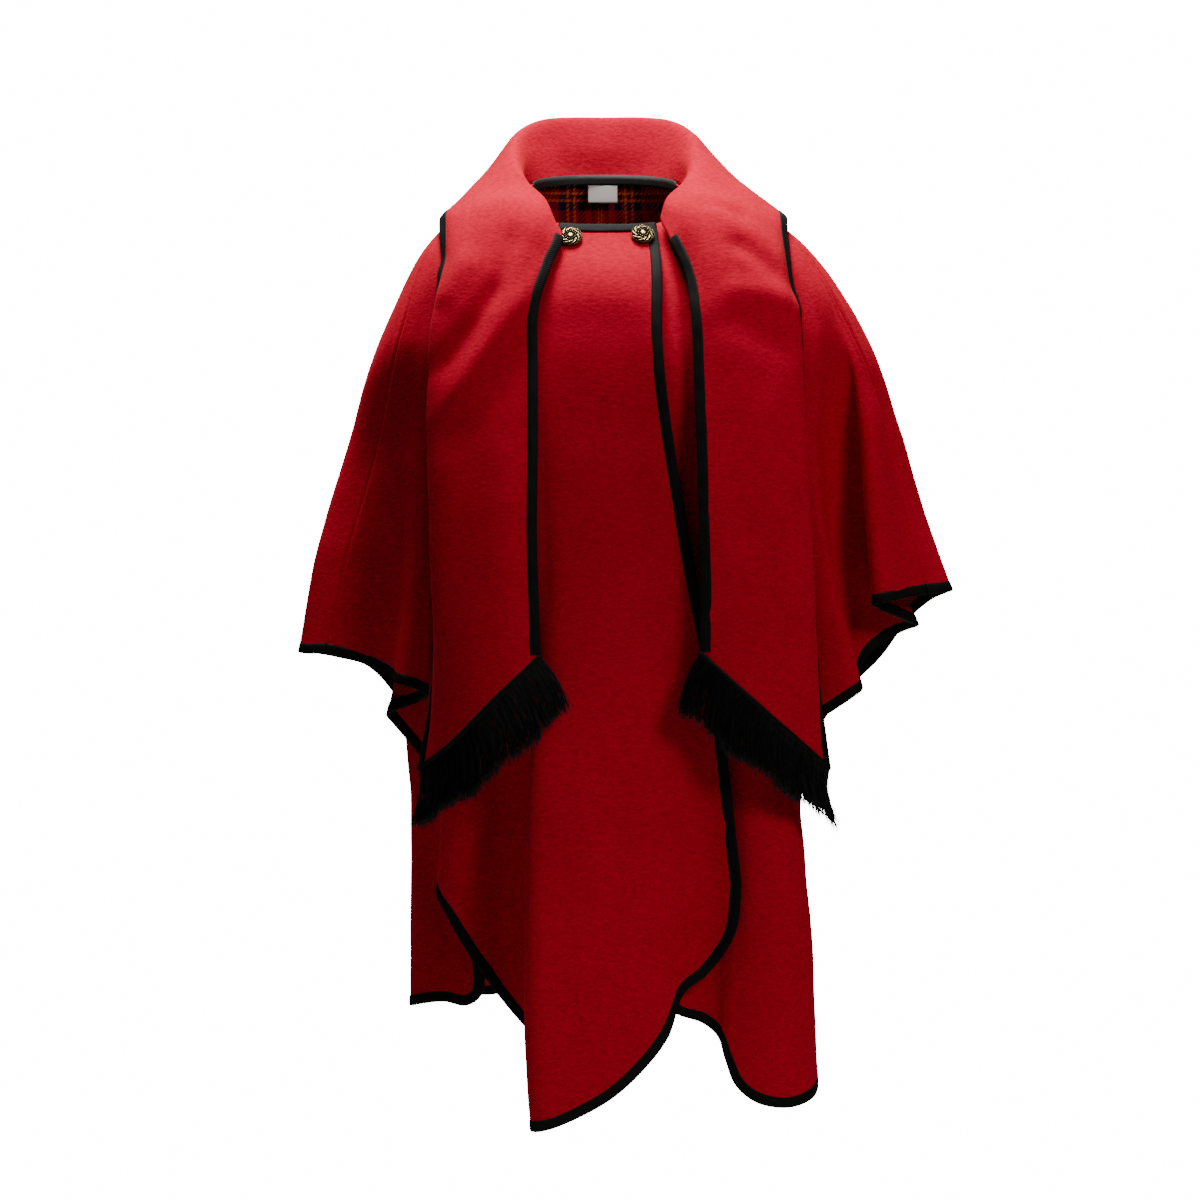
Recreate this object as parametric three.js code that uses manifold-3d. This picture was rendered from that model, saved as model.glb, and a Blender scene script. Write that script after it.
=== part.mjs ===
// Wool cape with a long scarf collar, hollow and hanging as it is worn.
// Millimetres; front faces -Y, the wearer's left is +X, +Z is up.
// The origin is in the neck opening at shoulder height, where the cape is held.
import * as THREE from "three";
import Module from "manifold-3d";

const kernel = await Module();
kernel.setup();

const WALL = 2.8;
const BINDING_WIDTH = 10.5;
const BINDING_THICK = 4.4;
const SEAM_GAP = 0.5;
const CLEAR_GAP = 0.3;
const NECK_CENTRE_X = -8;
const SHOULDER_CENTRE_X = 2;
const CHEST_CENTRE_X = 13;
const CHEST_Z = -150;
const WAIST_SHARE = 0.35;
const KNEE_SHARE = 0.7;
const TOP_FRONT_LIFT = 9;
const HEM_STEP = 52;
const HEM_TURN = 0.6;
const BUTTON_RADIUS = 12.4;
const TAPE_HEIGHT = 11;
const TAPE_THICK = 1.1;
const LABEL_SIZE = [32, 19, 0.9];
const STRANDS_PER_END = 44;
const STRAND_LENGTH = 58;
const FRINGE_BAND = 6;
// Outer and inner corners of the fringe's band, as its distance below the edge and off the face.
const BAND_SECTION = [[0, 0.6], [1, 0.3], [1, -2.2], [0, -3]];
// Rings of a strand: share of its length and of the size of its root.
const STRAND_RINGS = [[0.45, 0.8], [1, 0.5]];
const LEAN_RIGHT = [0.42, -0.22];
const LEAN_LEFT = [-0.34, 0.34];
// Degrees from the middle of the back to its two seams.
const BACK_TO_SEAM = { neck: 85, shoulder: 99, chestRight: 111, chestLeft: 108 };
// The bindings of two panels stop short of their seam by this share of a fold line.
const SEAM_SHARE = 0.02;
// The cloth gives way to the binding at a corner over this many fold lines.
const EDGE_REACH = 5;
const BUTTON_V = 0.022;
const BUTTON_RIGHT_U = 7.93;
const BUTTON_LEFT_U = 1.94;

const COLOURS = { cloth: 0xc01018, binding: 0x1c1c1a, brass: 0x8c7340, label: 0xf2f0ea };

const named = (columns, rows) =>
  rows.map((row) => Object.fromEntries(columns.map((column, i) => [column, row[i]])));

// Rings round the body, half of each; the other half is its mirror image.
const RING_COLUMNS = ["deg", "x", "y", "z"];
const NECK_RING = named(RING_COLUMNS, [
  [0, 0, -74, -35],
  [25, 36, -72, -34],
  [48, 62, -62, -29],
  [70, 79, -36, -10],
  [92, 84, -2, 8],
  [118, 78, 30, 21],
  [148, 46, 58, 29],
  [180, 0, 67, 31],
]);
const SHOULDER_RING = named(RING_COLUMNS, [
  [0, 0, -113, -92],
  [25, 76, -106, -86],
  [48, 136, -86, -68],
  [68, 172, -54, -48],
  [88, 186, -10, -33],
  [108, 178, 38, -34],
  [142, 112, 86, -46],
  [180, 0, 98, -54],
]);
const CHEST_RING = named(RING_COLUMNS, [
  [0, 0, -131, CHEST_Z],
  [30, 118, -121, CHEST_Z],
  [48, 180, -94, CHEST_Z],
  [62, 222, -64, CHEST_Z],
  [75, 251, -34, CHEST_Z],
  [90, 264, 4, CHEST_Z],
  [108, 248, 52, CHEST_Z],
  [132, 188, 88, CHEST_Z],
  [156, 100, 108, CHEST_Z],
  [180, 0, 113, CHEST_Z],
]);

// One row for each fold line, from the centre edge to the seam over the arm.
const FRONT_COLUMNS = [
  "neck", "shoulder", "chest", "waistX", "waistY", "kneeX", "kneeY", "hemX", "hemY", "hemZ",
];
const RIGHT_FRONT = named(FRONT_COLUMNS, [
  [40, 16, 9.5, 77, -138, 114, -138, 134, -128, -730],
  [34, 13, 7, 68, -138, 104, -137, 129, -124, -778],
  [28, 9, 3, 50, -138, 84, -134, 101, -121, -824],
  [20, 5, 0, 34, -138, 62, -135, 76, -126, -843],
  [12, 0, -4, 16, -139, 38, -142, 56, -148, -890],
  [2, -6, -9, -10, -139, 0, -150, 10, -164, -940],
  [-8, -12, -14, -36, -138, -40, -154, -37, -169, -968],
  [-16, -18, -19, -60, -136, -74, -156, -69, -171, -980],
  [-19, -20.5, -20.5, -69, -132, -87, -147, -81, -160, -982],
  [-23, -23.5, -22.5, -77, -128, -82, -120, -66, -126, -966],
  [-27, -26.5, -25, -86, -124, -78, -96, -48, -86, -936],
  [-31, -29.5, -27, -93, -120, -86, -80, -54, -64, -914],
  [-35, -33, -29.5, -101, -116, -104, -74, -87, -58, -890],
  [-40, -38, -33, -117, -110, -138, -75, -138, -60, -832],
  [-45, -43, -36.5, -134, -104, -165, -73, -178, -53, -765],
  [-48, -45, -38, -142, -100, -176, -57, -188, -34, -745],
  [-51, -48, -40.5, -150, -96, -176, -29, -179, -6, -703],
  [-54, -51, -43, -159, -90, -177, -16, -180, 8, -642],
  [-57, -54, -45.5, -168, -83, -191, -8, -208, 13, -600],
  [-60, -57, -48, -178, -76, -208, -5, -236, 6, -565],
  [-62, -59, -49.5, -183, -73, -212, -16, -240, -8, -555],
  [-64, -61, -51, -187, -71, -201, -27, -221, -20, -546],
  [-66, -62.5, -52.5, -190, -69, -191, -35, -203, -27, -539],
  [-68, -64, -54, -194, -68, -189, -45, -197, -38, -534],
  [-70, -66, -55.5, -200, -68, -200, -55, -208, -50, -527],
  [-73, -68, -57, -208, -66, -213, -59, -223, -55, -522],
  [-76, -70, -58.5, -216, -59, -222, -50, -232, -45, -520],
  [-80, -72.5, -60.5, -223, -47, -228, -34, -238, -24, -514],
  [-85, -75, -63, -234, -34, -250, -22, -262, -10, -502],
  [-90, -78, -66, -243, -27, -270, -19, -288, -13, -494],
  [-95, -81, -69, -251, -21, -286, -18, -309, -16, -489],
]);
const LEFT_FRONT = named(FRONT_COLUMNS, [
  [-35, -14, -11, -32, -118, -26, -114, -20, -106, -742],
  [-30, -11, -8.5, -24, -118, -18, -114, -15, -105, -792],
  [-23, -6, -4, -10, -119, 0, -113, 8, -104, -828],
  [-15, 0, 0.5, 8, -119, 26, -112, 38, -102, -853],
  [-7, 6, 5, 28, -119, 54, -111, 71, -101, -869],
  [1, 11, 9, 46, -119, 76, -110, 94, -99, -877],
  [8, 16, 13, 62, -118, 95, -110, 110, -104, -890],
  [14, 20, 16.5, 76, -117, 108, -112, 118, -113, -914],
  [20, 25, 20.5, 92, -116, 122, -116, 129, -122, -940],
  [27, 31, 25, 112, -114, 144, -120, 151, -128, -957],
  [34, 37, 30, 134, -109, 172, -116, 184, -122, -963],
  [39, 41, 33.5, 150, -103, 194, -104, 208, -107, -957],
  [42, 43.5, 35.5, 160, -98, 204, -88, 217, -87, -947],
  [46, 46.5, 38.5, 168, -93, 205, -56, 214, -50, -914],
  [50, 49.5, 41.5, 175, -88, 199, -28, 207, -12, -850],
  [54, 52.5, 44.5, 181, -84, 195, -16, 200, -3, -768],
  [57, 55, 47, 187, -81, 193, -17, 198, -6, -694],
  [60, 57.5, 49, 193, -79, 196, -27, 200, -20, -624],
  [63, 60, 51, 200, -77, 207, -40, 212, -36, -568],
  [66, 62.5, 53, 209, -75, 223, -50, 238, -46, -548],
  [69, 65, 55, 218, -70, 237, -52, 259, -48, -534],
  [71, 67, 56.5, 223, -61, 243, -41, 268, -36, -527],
  [73, 68.5, 58, 226, -50, 243, -20, 265, -16, -517],
  [76, 70.5, 60, 234, -38, 252, -5, 275, 6, -494],
  [79, 72.5, 62, 246, -28, 269, 1, 299, 18, -474],
  [82, 74, 63.5, 258, -23, 284, 2, 320, 24, -464],
  [84, 75, 64.5, 267, -24, 292, -7, 330, 14, -460],
  [85, 75.8, 65.3, 268, -31, 287, -18, 319, 0, -455],
  [86.5, 76.5, 66, 266, -38, 278, -30, 300, -19, -447],
  [88, 77.2, 66.7, 266, -45, 273, -41, 284, -36, -440],
  [89, 77.8, 67.4, 269, -51, 275, -51, 279, -48, -437],
  [90.5, 78.6, 68.6, 276, -50, 285, -51, 291, -51, -434],
  [92.5, 79.6, 70.2, 285, -40, 301, -40, 315, -38, -429],
  [95, 81, 72, 293, -27, 315, -25, 339, -20, -425],
]);
// The back goes from the seam over the right arm round to the seam over the left arm.
const BACK_COLUMNS = ["chest", "waistX", "waistY", "kneeX", "kneeY", "hemX", "hemY", "hemZ"];
const BACK = named(BACK_COLUMNS, [
  [-76, -269, -12, -305, -10, -328, -9, -489],
  [-83, -284, 2, -319, 0, -338, 0, -488],
  [-92, -287, 18, -321, 15, -338, 13, -487],
  [-101, -278, 34, -308, 31, -324, 28, -489],
  [-109, -263, 48, -288, 45, -299, 43, -494],
  [-116, -250, 60, -268, 60, -267, 56, -504],
  [-121, -240, 67, -255, 68, -240, 60, -532],
  [-124, -233, 71, -242, 73, -217, 59, -575],
  [-127, -228, 74, -230, 76, -204, 56, -620],
  [-129, -225, 78, -226, 79, -176, 46, -690],
  [-131, -222, 81, -223, 81, -154, 41, -780],
  [-133, -220, 84, -220, 81, -142, 39, -860],
  [-134.5, -218, 87, -220, 84, -158, 37, -873],
  [-136, -216, 90, -221, 88, -183, 38, -869],
  [-138, -213, 93, -222, 92, -207, 46, -872],
  [-140, -209, 96, -221, 96, -221, 62, -876],
  [-143, -203, 99, -218, 101, -218, 84, -875],
  [-146, -193, 102, -206, 108, -202, 104, -872],
  [-151, -170, 108, -176, 118, -172, 118, -869],
  [-156, -140, 112, -140, 130, -138, 138, -872],
  [-162, -101, 116, -98, 126, -97, 132, -866],
  [-168, -62, 119, -60, 138, -58, 152, -870],
  [-174, -23, 121, -21, 132, -20, 143, -866],
  [-180, 16, 122, 17, 135, 18, 149, -868],
  [-186, 50, 121, 50, 131, 50, 142, -866],
  [-192, 82, 119, 80, 138, 78, 153, -870],
  [-198, 116, 115, 112, 127, 108, 134, -866],
  [-204, 152, 110, 146, 128, 142, 136, -870],
  [-209, 184, 104, 174, 115, 168, 118, -868],
  [-214, 209, 98, 199, 104, 190, 104, -870],
  [-217, 220, 93, 206, 96, 202, 84, -872],
  [-220, 226, 89, 208, 91, 200, 64, -873],
  [-222, 230, 86, 208, 87, 186, 50, -870],
  [-224, 233, 83, 208, 82, 164, 42, -869],
  [-226, 236, 80, 210, 78, 150, 42, -830],
  [-229, 240, 77, 223, 79, 170, 47, -712],
  [-232, 245, 73, 236, 77, 204, 57, -624],
  [-235, 250, 70, 249, 74, 228, 61, -570],
  [-238, 256, 66, 264, 69, 258, 62, -530],
  [-242, 264, 60, 282, 61, 294, 60, -494],
  [-247, 276, 50, 300, 50, 325, 53, -452],
  [-254, 292, 36, 320, 36, 348, 36, -431],
  [-262, 306, 20, 335, 20, 364, 18, -423],
  [-270, 311, 4, 339, 4, 368, 3, -421],
  [-279, 305, -13, 330, -12, 357, -11, -423],
]);

// Sections of the scarf collar, from the end on the right front over the neck
// to the end on the left front; five points each, from the inner to the outer edge.
const SCARF_COLUMNS = [
  "innerX", "innerY", "innerZ", "riseX", "riseY", "riseZ", "crestX", "crestY", "crestZ",
  "fallX", "fallY", "fallZ", "outerX", "outerY", "outerZ",
];
const SCARF = named(SCARF_COLUMNS, [
  [-75, -165, -489, -107, -168, -519, -140, -158, -552, -172, -132, -584, -205, -94, -609],
  [-77, -164, -430, -110, -170, -450, -148, -160, -478, -182, -131, -506, -192, -100, -536],
  [-79, -163, -360, -112, -170, -374, -152, -161, -394, -188, -134, -414, -187, -104, -440],
  [-78, -160, -276, -113, -167, -284, -156, -159, -299, -192, -134, -316, -187, -106, -338],
  [-78, -153, -190, -113, -160, -193, -156, -152, -204, -194, -126, -219, -187, -106, -236],
  [-77, -145, -126, -108, -152, -118, -150, -141, -122, -190, -116, -139, -189, -100, -158],
  [-64, -126, -82, -92, -132, -62, -132, -124, -60, -174, -102, -78, -184, -92, -96],
  [-52, -104, -50, -70, -106, -24, -108, -98, -12, -156, -76, -28, -186, -70, -62],
  [-62, -80, -26, -68, -76, -8, -84, -64, 6, -140, -42, 0, -188, -30, -24],
  [-83, -42, -6, -86, -38, 12, -98, -28, 27, -146, 0, 16, -184, 20, -14],
  [-92.6, -2, 8.6, -96, 0, 34, -106, 8, 50, -146, 36, 26, -174, 64, -14],
  [-86.7, 30.4, 21.6, -92, 34, 56, -100, 42, 78, -128, 74, 38, -146, 102, -20],
  [-54.5, 58.7, 29.7, -66, 62, 66, -74, 70, 96, -84, 104, 50, -92, 126, -26],
  [-8, 67.7, 31.5, -8, 72, 68, -8, 84, 100, -8, 114, 54, -8, 134, -30],
  [38.5, 58.7, 29.7, 50, 62, 66, 58, 70, 96, 70, 104, 50, 80, 126, -26],
  [70.7, 30.4, 21.6, 76, 34, 56, 84, 42, 78, 116, 74, 38, 138, 102, -20],
  [76.6, -2, 8.6, 80, 0, 34, 90, 8, 50, 138, 36, 26, 172, 64, -14],
  [67, -42, -6, 70, -38, 12, 84, -28, 27, 140, 0, 16, 188, 20, -14],
  [50, -80, -26, 56, -76, -8, 74, -64, 6, 136, -42, 0, 190, -34, -28],
  [60, -104, -52, 76, -106, -26, 110, -98, -12, 160, -76, -30, 193, -74, -66],
  [76, -126, -90, 100, -132, -64, 138, -124, -60, 184, -104, -78, 197, -94, -102],
  [82, -144, -132, 114, -151, -122, 152, -142, -123, 195, -120, -138, 200, -98, -154],
  [85, -153, -195, 120, -160, -197, 158, -153, -204, 200, -130, -218, 203, -104, -234],
  [88, -160, -276, 124, -167, -284, 161, -159, -298, 204, -136, -314, 206, -105, -334],
  [90, -163, -350, 124, -170, -364, 162, -161, -384, 208, -136, -406, 212, -104, -434],
  [92, -164, -420, 125, -170, -440, 163, -161, -466, 209, -134, -494, 219, -102, -528],
  [91, -165, -486, 123, -168, -515, 159, -158, -547, 196, -130, -579, 230, -95, -609],
]);
const BODY_ROWS = [0, 0.045, 0.09, 0.14, 0.19, 0.26, 0.35, 0.45, 0.56, 0.68, 0.8, 0.91, 1];
// The free inner edges of the scarf run from each end to these two sections.
const SCARF_FREE_RIGHT = 7.4;
const SCARF_FREE_LEFT = 18.6;
const SCARF_BOUND = 7;

const vec = (x, y, z) => new THREE.Vector3(x, y, z);

// Knots from 0 to 1 by the length of the way from point to point.
function knotsAlong(points) {
  const knots = [0];
  for (let i = 1; i < points.length; i += 1) {
    knots.push(knots[i - 1] + points[i].distanceTo(points[i - 1]));
  }
  return knots.map((knot) => knot / knots.at(-1));
}

function hermite(points, knots, at) {
  const last = knots.length - 1;
  let i = 0;
  while (i < last - 1 && at > knots[i + 1]) i += 1;
  const slope = (k) => points[k + 1].clone().sub(points[k]).divideScalar(knots[k + 1] - knots[k]);
  const tangent = (k) => {
    if (k === 0) return slope(0);
    if (k === last) return slope(last - 1);
    const before = knots[k] - knots[k - 1];
    const after = knots[k + 1] - knots[k];
    const mixed = slope(k - 1).multiplyScalar(after).add(slope(k).multiplyScalar(before));
    return mixed.divideScalar(before + after);
  };
  const h = knots[i + 1] - knots[i];
  const t = (at - knots[i]) / h;
  const t2 = t * t;
  const t3 = t2 * t;
  return points[i].clone().multiplyScalar(2 * t3 - 3 * t2 + 1)
    .addScaledVector(tangent(i), (t3 - 2 * t2 + t) * h)
    .addScaledVector(points[i + 1], 3 * t2 - 2 * t3)
    .addScaledVector(tangent(i + 1), (t3 - t2) * h);
}

// A smooth curve through points, with knots by the square root of their distance.
function throughPoints(points, at) {
  const last = points.length - 1;
  const i = Math.min(Math.max(Math.floor(at), 0), last - 1);
  const p1 = points[i];
  const p2 = points[i + 1];
  const p0 = i > 0 ? points[i - 1] : p1.clone().multiplyScalar(2).sub(p2);
  const p3 = i + 2 <= last ? points[i + 2] : p2.clone().multiplyScalar(2).sub(p1);
  const steps = [p0.distanceTo(p1), p1.distanceTo(p2), p2.distanceTo(p3)];
  const knots = [0];
  for (const step of steps) knots.push(knots.at(-1) + Math.sqrt(Math.max(step, 0.05)));
  const t = knots[1] + (at - i) * (knots[2] - knots[1]);
  const mix = (a, b, ta, tb) =>
    a.clone().multiplyScalar((tb - t) / (tb - ta)).addScaledVector(b, (t - ta) / (tb - ta));
  const a1 = mix(p0, p1, knots[0], knots[1]);
  const a2 = mix(p1, p2, knots[1], knots[2]);
  const a3 = mix(p2, p3, knots[2], knots[3]);
  const b1 = mix(a1, a2, knots[0], knots[2]);
  const b2 = mix(a2, a3, knots[1], knots[3]);
  return mix(b1, b2, knots[1], knots[2]);
}

function ringPoint(ring, centreX, degrees) {
  const turned = ((degrees + 540) % 360) - 180;
  const side = Math.sign(turned) || 1;
  const half = ring.map((row) => vec(row.x, row.y, row.z));
  const before = vec(-ring[1].x, ring[1].y, ring[1].z);
  const end = ring.length - 2;
  const after = vec(-ring[end].x, ring[end].y, ring[end].z);
  const knots = [-ring[1].deg, ...ring.map((row) => row.deg), 360 - ring[end].deg];
  const point = hermite([before, ...half, after], knots, Math.abs(turned));
  return vec(centreX + side * point.x, point.y, point.z);
}

const smooth = (low, high, at) => THREE.MathUtils.smoothstep(at, low, high);

function foldLine(row, lift) {
  const neck = ringPoint(NECK_RING, NECK_CENTRE_X, row.neck);
  const shoulder = ringPoint(SHOULDER_RING, SHOULDER_CENTRE_X, row.shoulder);
  const chest = ringPoint(CHEST_RING, CHEST_CENTRE_X, row.chest);
  for (const point of [neck, shoulder, chest]) point.y -= lift;
  const level = (share) => CHEST_Z + share * (row.hemZ - CHEST_Z);
  return [
    neck, shoulder, chest,
    vec(row.waistX, row.waistY, level(WAIST_SHARE)),
    vec(row.kneeX, row.kneeY, level(KNEE_SHARE)),
    vec(row.hemX, row.hemY, row.hemZ),
  ];
}

function backLine(row) {
  const turned = row.chest + 180;
  const reach = turned > 0 ? BACK_TO_SEAM.chestRight : BACK_TO_SEAM.chestLeft;
  const neck = -180 + (turned * BACK_TO_SEAM.neck) / reach;
  const shoulder = -180 + (turned * BACK_TO_SEAM.shoulder) / reach;
  return foldLine({ ...row, neck, shoulder }, 0);
}

const bodyNet = [
  ...RIGHT_FRONT.map((row) => foldLine(row, TOP_FRONT_LIFT * smooth(-88, -50, row.shoulder))),
  ...BACK.map(backLine),
  ...LEFT_FRONT.toReversed().map((row) => foldLine(row, 0)),
];
const RIGHT_SEAM = RIGHT_FRONT.length - 1;
const LEFT_SEAM = RIGHT_SEAM + BACK.length + 1;
const BODY_END = bodyNet.length - 1;

const scarfNet = SCARF.map((row) => [
  vec(row.innerX, row.innerY, row.innerZ), vec(row.riseX, row.riseY, row.riseZ),
  vec(row.crestX, row.crestY, row.crestZ), vec(row.fallX, row.fallY, row.fallZ),
  vec(row.outerX, row.outerY, row.outerZ),
]);

// A sheet is a smooth surface through a net of points: u counts its rows, v goes from 0 to 1.
function sheet(net) {
  const known = new Map();
  const knots = net.map(knotsAlong);
  const across = (v) => {
    const key = v.toFixed(7);
    if (!known.has(key)) known.set(key, net.map((row, i) => hermite(row, knots[i], v)));
    return known.get(key);
  };
  const last = net.length - 1;
  const at = (u, v) => throughPoints(across(v), u);
  const along = (u, v, du, dv) => {
    const u0 = Math.max(u - du, 0);
    const u1 = Math.min(u + du, last);
    const v0 = Math.max(v - dv, 0);
    const v1 = Math.min(v + dv, 1);
    const size = du > 0 ? u1 - u0 : v1 - v0;
    return at(u1, v1).sub(at(u0, v0)).divideScalar(size);
  };
  const alongU = (u, v) => along(u, v, 0.02, 0);
  const alongV = (u, v) => along(u, v, 0, 0.004);
  const normal = (u, v) => {
    return new THREE.Vector3().crossVectors(alongU(u, v), alongV(u, v)).normalize();
  };
  return { at, normal, alongU, alongV };
}

const body = sheet(bodyNet);
const scarf = sheet(scarfNet);

// The place on a sheet nearest to a point, searched from a first place in ever closer steps.
function nearest(surface, start, target) {
  let place = { u: start.u, v: start.v };
  let off = target.clone().sub(surface.at(place.u, place.v));
  for (let turn = 0; turn < 10; turn += 1) {
    const du = surface.alongU(place.u, place.v);
    const dv = surface.alongV(place.u, place.v);
    const a = du.dot(du);
    const b = du.dot(dv);
    const c = dv.dot(dv);
    const det = Math.max(a * c - b * b, 1e-6);
    const stepU = (c * off.dot(du) - b * off.dot(dv)) / det;
    const stepV = (a * off.dot(dv) - b * off.dot(du)) / det;
    const limit = Math.min(1, 0.6 / Math.abs(stepU), 0.06 / Math.abs(stepV));
    for (let share = limit; share > limit / 40; share /= 2) {
      const v = THREE.MathUtils.clamp(place.v + stepV * share, 0, 1);
      const next = { u: place.u + stepU * share, v };
      const left = target.clone().sub(surface.at(next.u, next.v));
      if (left.lengthSq() < off.lengthSq()) {
        place = next;
        off = left;
        break;
      }
    }
  }
  return place;
}

// The direction into the cloth from a border place that lies between two others.
function inward(surface, before, here, after) {
  const normal = surface.normal(here.u, here.v);
  const point = surface.at(here.u, here.v);
  const sides = [];
  if (before) sides.push(point.clone().sub(surface.at(before.u, before.v)));
  if (after) sides.push(surface.at(after.u, after.v).sub(point));
  const turned = sides.map((side) => new THREE.Vector3().crossVectors(side, normal).normalize());
  if (turned.length === 1) return turned[0];
  const share = 1 + Math.max(turned[0].dot(turned[1]), -0.6);
  return turned[0].add(turned[1]).divideScalar(share);
}

// Border places moved into the cloth by a distance; side is 1 or -1 by the path's direction.
function inset(surface, path, distance, side) {
  return path.map((here, i) => {
    const into = inward(surface, path[i - 1], here, path[i + 1]);
    const target = surface.at(here.u, here.v).addScaledVector(into, side * distance);
    return nearest(surface, here, target);
  });
}

function geometry(points, faces) {
  const built = new THREE.BufferGeometry();
  built.setAttribute("position", new THREE.Float32BufferAttribute(points.flatMap((p) => p.toArray()), 3));
  built.setIndex(faces.flat());
  return built;
}

// A closed wall from a grid of places on a sheet, outer face on the sheet itself.
function wall(surface, grid, thick) {
  const columns = grid.length;
  const rows = grid[0].length;
  const outer = grid.flat().map(({ u, v }) => surface.at(u, v));
  const inner = grid.flat().map(({ u, v }, k) =>
    outer[k].clone().addScaledVector(surface.normal(u, v), -thick));
  const count = outer.length;
  const faces = [];
  const quad = (a, b, c, d) => {
    const short = outer[a % count].distanceTo(outer[c % count])
      <= outer[b % count].distanceTo(outer[d % count]);
    faces.push(...(short ? [[a, b, c], [a, c, d]] : [[a, b, d], [b, c, d]]));
  };
  for (let i = 0; i < columns - 1; i += 1) {
    for (let j = 0; j < rows - 1; j += 1) {
      const [a, b] = [i * rows + j, (i + 1) * rows + j];
      quad(a, b, b + 1, a + 1);
      quad(count + a, count + a + 1, count + b + 1, count + b);
    }
  }
  const rim = (a, b) => faces.push([b, a, b + count], [a, a + count, b + count]);
  for (let i = 0; i < columns - 1; i += 1) {
    rim(i * rows, (i + 1) * rows);
    rim((i + 1) * rows + rows - 1, i * rows + rows - 1);
  }
  for (let j = 0; j < rows - 1; j += 1) {
    rim((columns - 1) * rows + j, (columns - 1) * rows + j + 1);
    rim(j + 1, j);
  }
  return geometry([...outer, ...inner], faces);
}

// A closed bar through sections of the same number of points, with flat ends.
function bar(sections, flip) {
  const size = sections[0].length;
  const faces = [];
  const add = (a, b, c) => faces.push(flip ? [a, c, b] : [a, b, c]);
  for (let k = 0; k < sections.length - 1; k += 1) {
    for (let s = 0; s < size; s += 1) {
      const [a, b] = [k * size + s, k * size + ((s + 1) % size)];
      add(a, a + size, b);
      add(b, a + size, b + size);
    }
  }
  const end = (sections.length - 1) * size;
  for (let s = 1; s < size - 1; s += 1) {
    add(0, s, s + 1);
    add(end, end + s + 1, end + s);
  }
  return geometry(sections.flat(), faces);
}

// A folded binding from border places to inner places; spare widens it on every side.
function binding(surface, path, inner, spare = 0) {
  const proud = (BINDING_THICK - WALL) / 2;
  const sections = path.map((here, i) => {
    const edge = surface.at(here.u, here.v);
    const out = surface.normal(here.u, here.v);
    const root = surface.at(inner[i].u, inner[i].v);
    const rootOut = surface.normal(inner[i].u, inner[i].v);
    const width = root.clone().sub(edge).normalize().multiplyScalar(spare);
    edge.sub(width);
    root.add(width);
    const low = proud - BINDING_THICK - spare;
    return [
      edge.clone().addScaledVector(out, proud + spare),
      root.clone().addScaledVector(rootOut, proud + spare),
      root.clone().addScaledVector(rootOut, low),
      edge.clone().addScaledVector(out, low),
    ];
  });
  return bar(sections, true);
}

function solidOf(shape) {
  const vertProperties = new Float32Array(shape.getAttribute("position").array);
  const triVerts = new Uint32Array(shape.index.array);
  return new kernel.Manifold(new kernel.Mesh({ numProp: 3, vertProperties, triVerts }));
}

// Cloth cut clear of a binding, where a tight turn would bring the two together.
function cutClear(shape, cutter) {
  const cut = solidOf(shape).subtract(solidOf(cutter)).simplify(0.02);
  const largest = cut.decompose().sort((a, b) => b.volume() - a.volume())[0];
  const mesh = largest.getMesh();
  const built = new THREE.BufferGeometry();
  built.setAttribute("position", new THREE.Float32BufferAttribute(mesh.vertProperties, mesh.numProp));
  built.setIndex(Array.from(mesh.triVerts));
  return built;
}

// Places between fold lines, more of them where the hem between two lines is long or turns.
function stepsBetween(surface, from, to, v) {
  const places = [];
  for (let u = from; u < to; u += 1) {
    const length = surface.at(u, v).distanceTo(surface.at(u + 1, v));
    const turn = surface.normal(u, v).angleTo(surface.normal(u + 1, v));
    const parts = Math.ceil(Math.max(length / HEM_STEP, turn / HEM_TURN));
    for (let k = 0; k < parts; k += 1) places.push(u + k / parts);
  }
  places.push(to);
  return places;
}

const line = (from, to, count, make) =>
  Array.from({ length: count + 1 }, (_, k) => make(from + ((to - from) * k) / count));

// How far along one direction a border place moves to lie a distance inside the border.
function slide(surface, here, into, distance, key) {
  const start = surface.at(here.u, here.v);
  const place = { ...here };
  for (let turn = 0; turn < 6; turn += 1) {
    const along = key === "u" ? surface.alongU(place.u, place.v) : surface.alongV(place.u, place.v);
    const short = distance - surface.at(place.u, place.v).sub(start).dot(into);
    place[key] += short / along.dot(into);
  }
  return place[key] - here[key];
}

function moves(surface, path, distance, side) {
  const found = inset(surface, path, distance, side);
  return found.map((place, i) => ({ u: place.u - path[i].u, v: place.v - path[i].v }));
}

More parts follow.
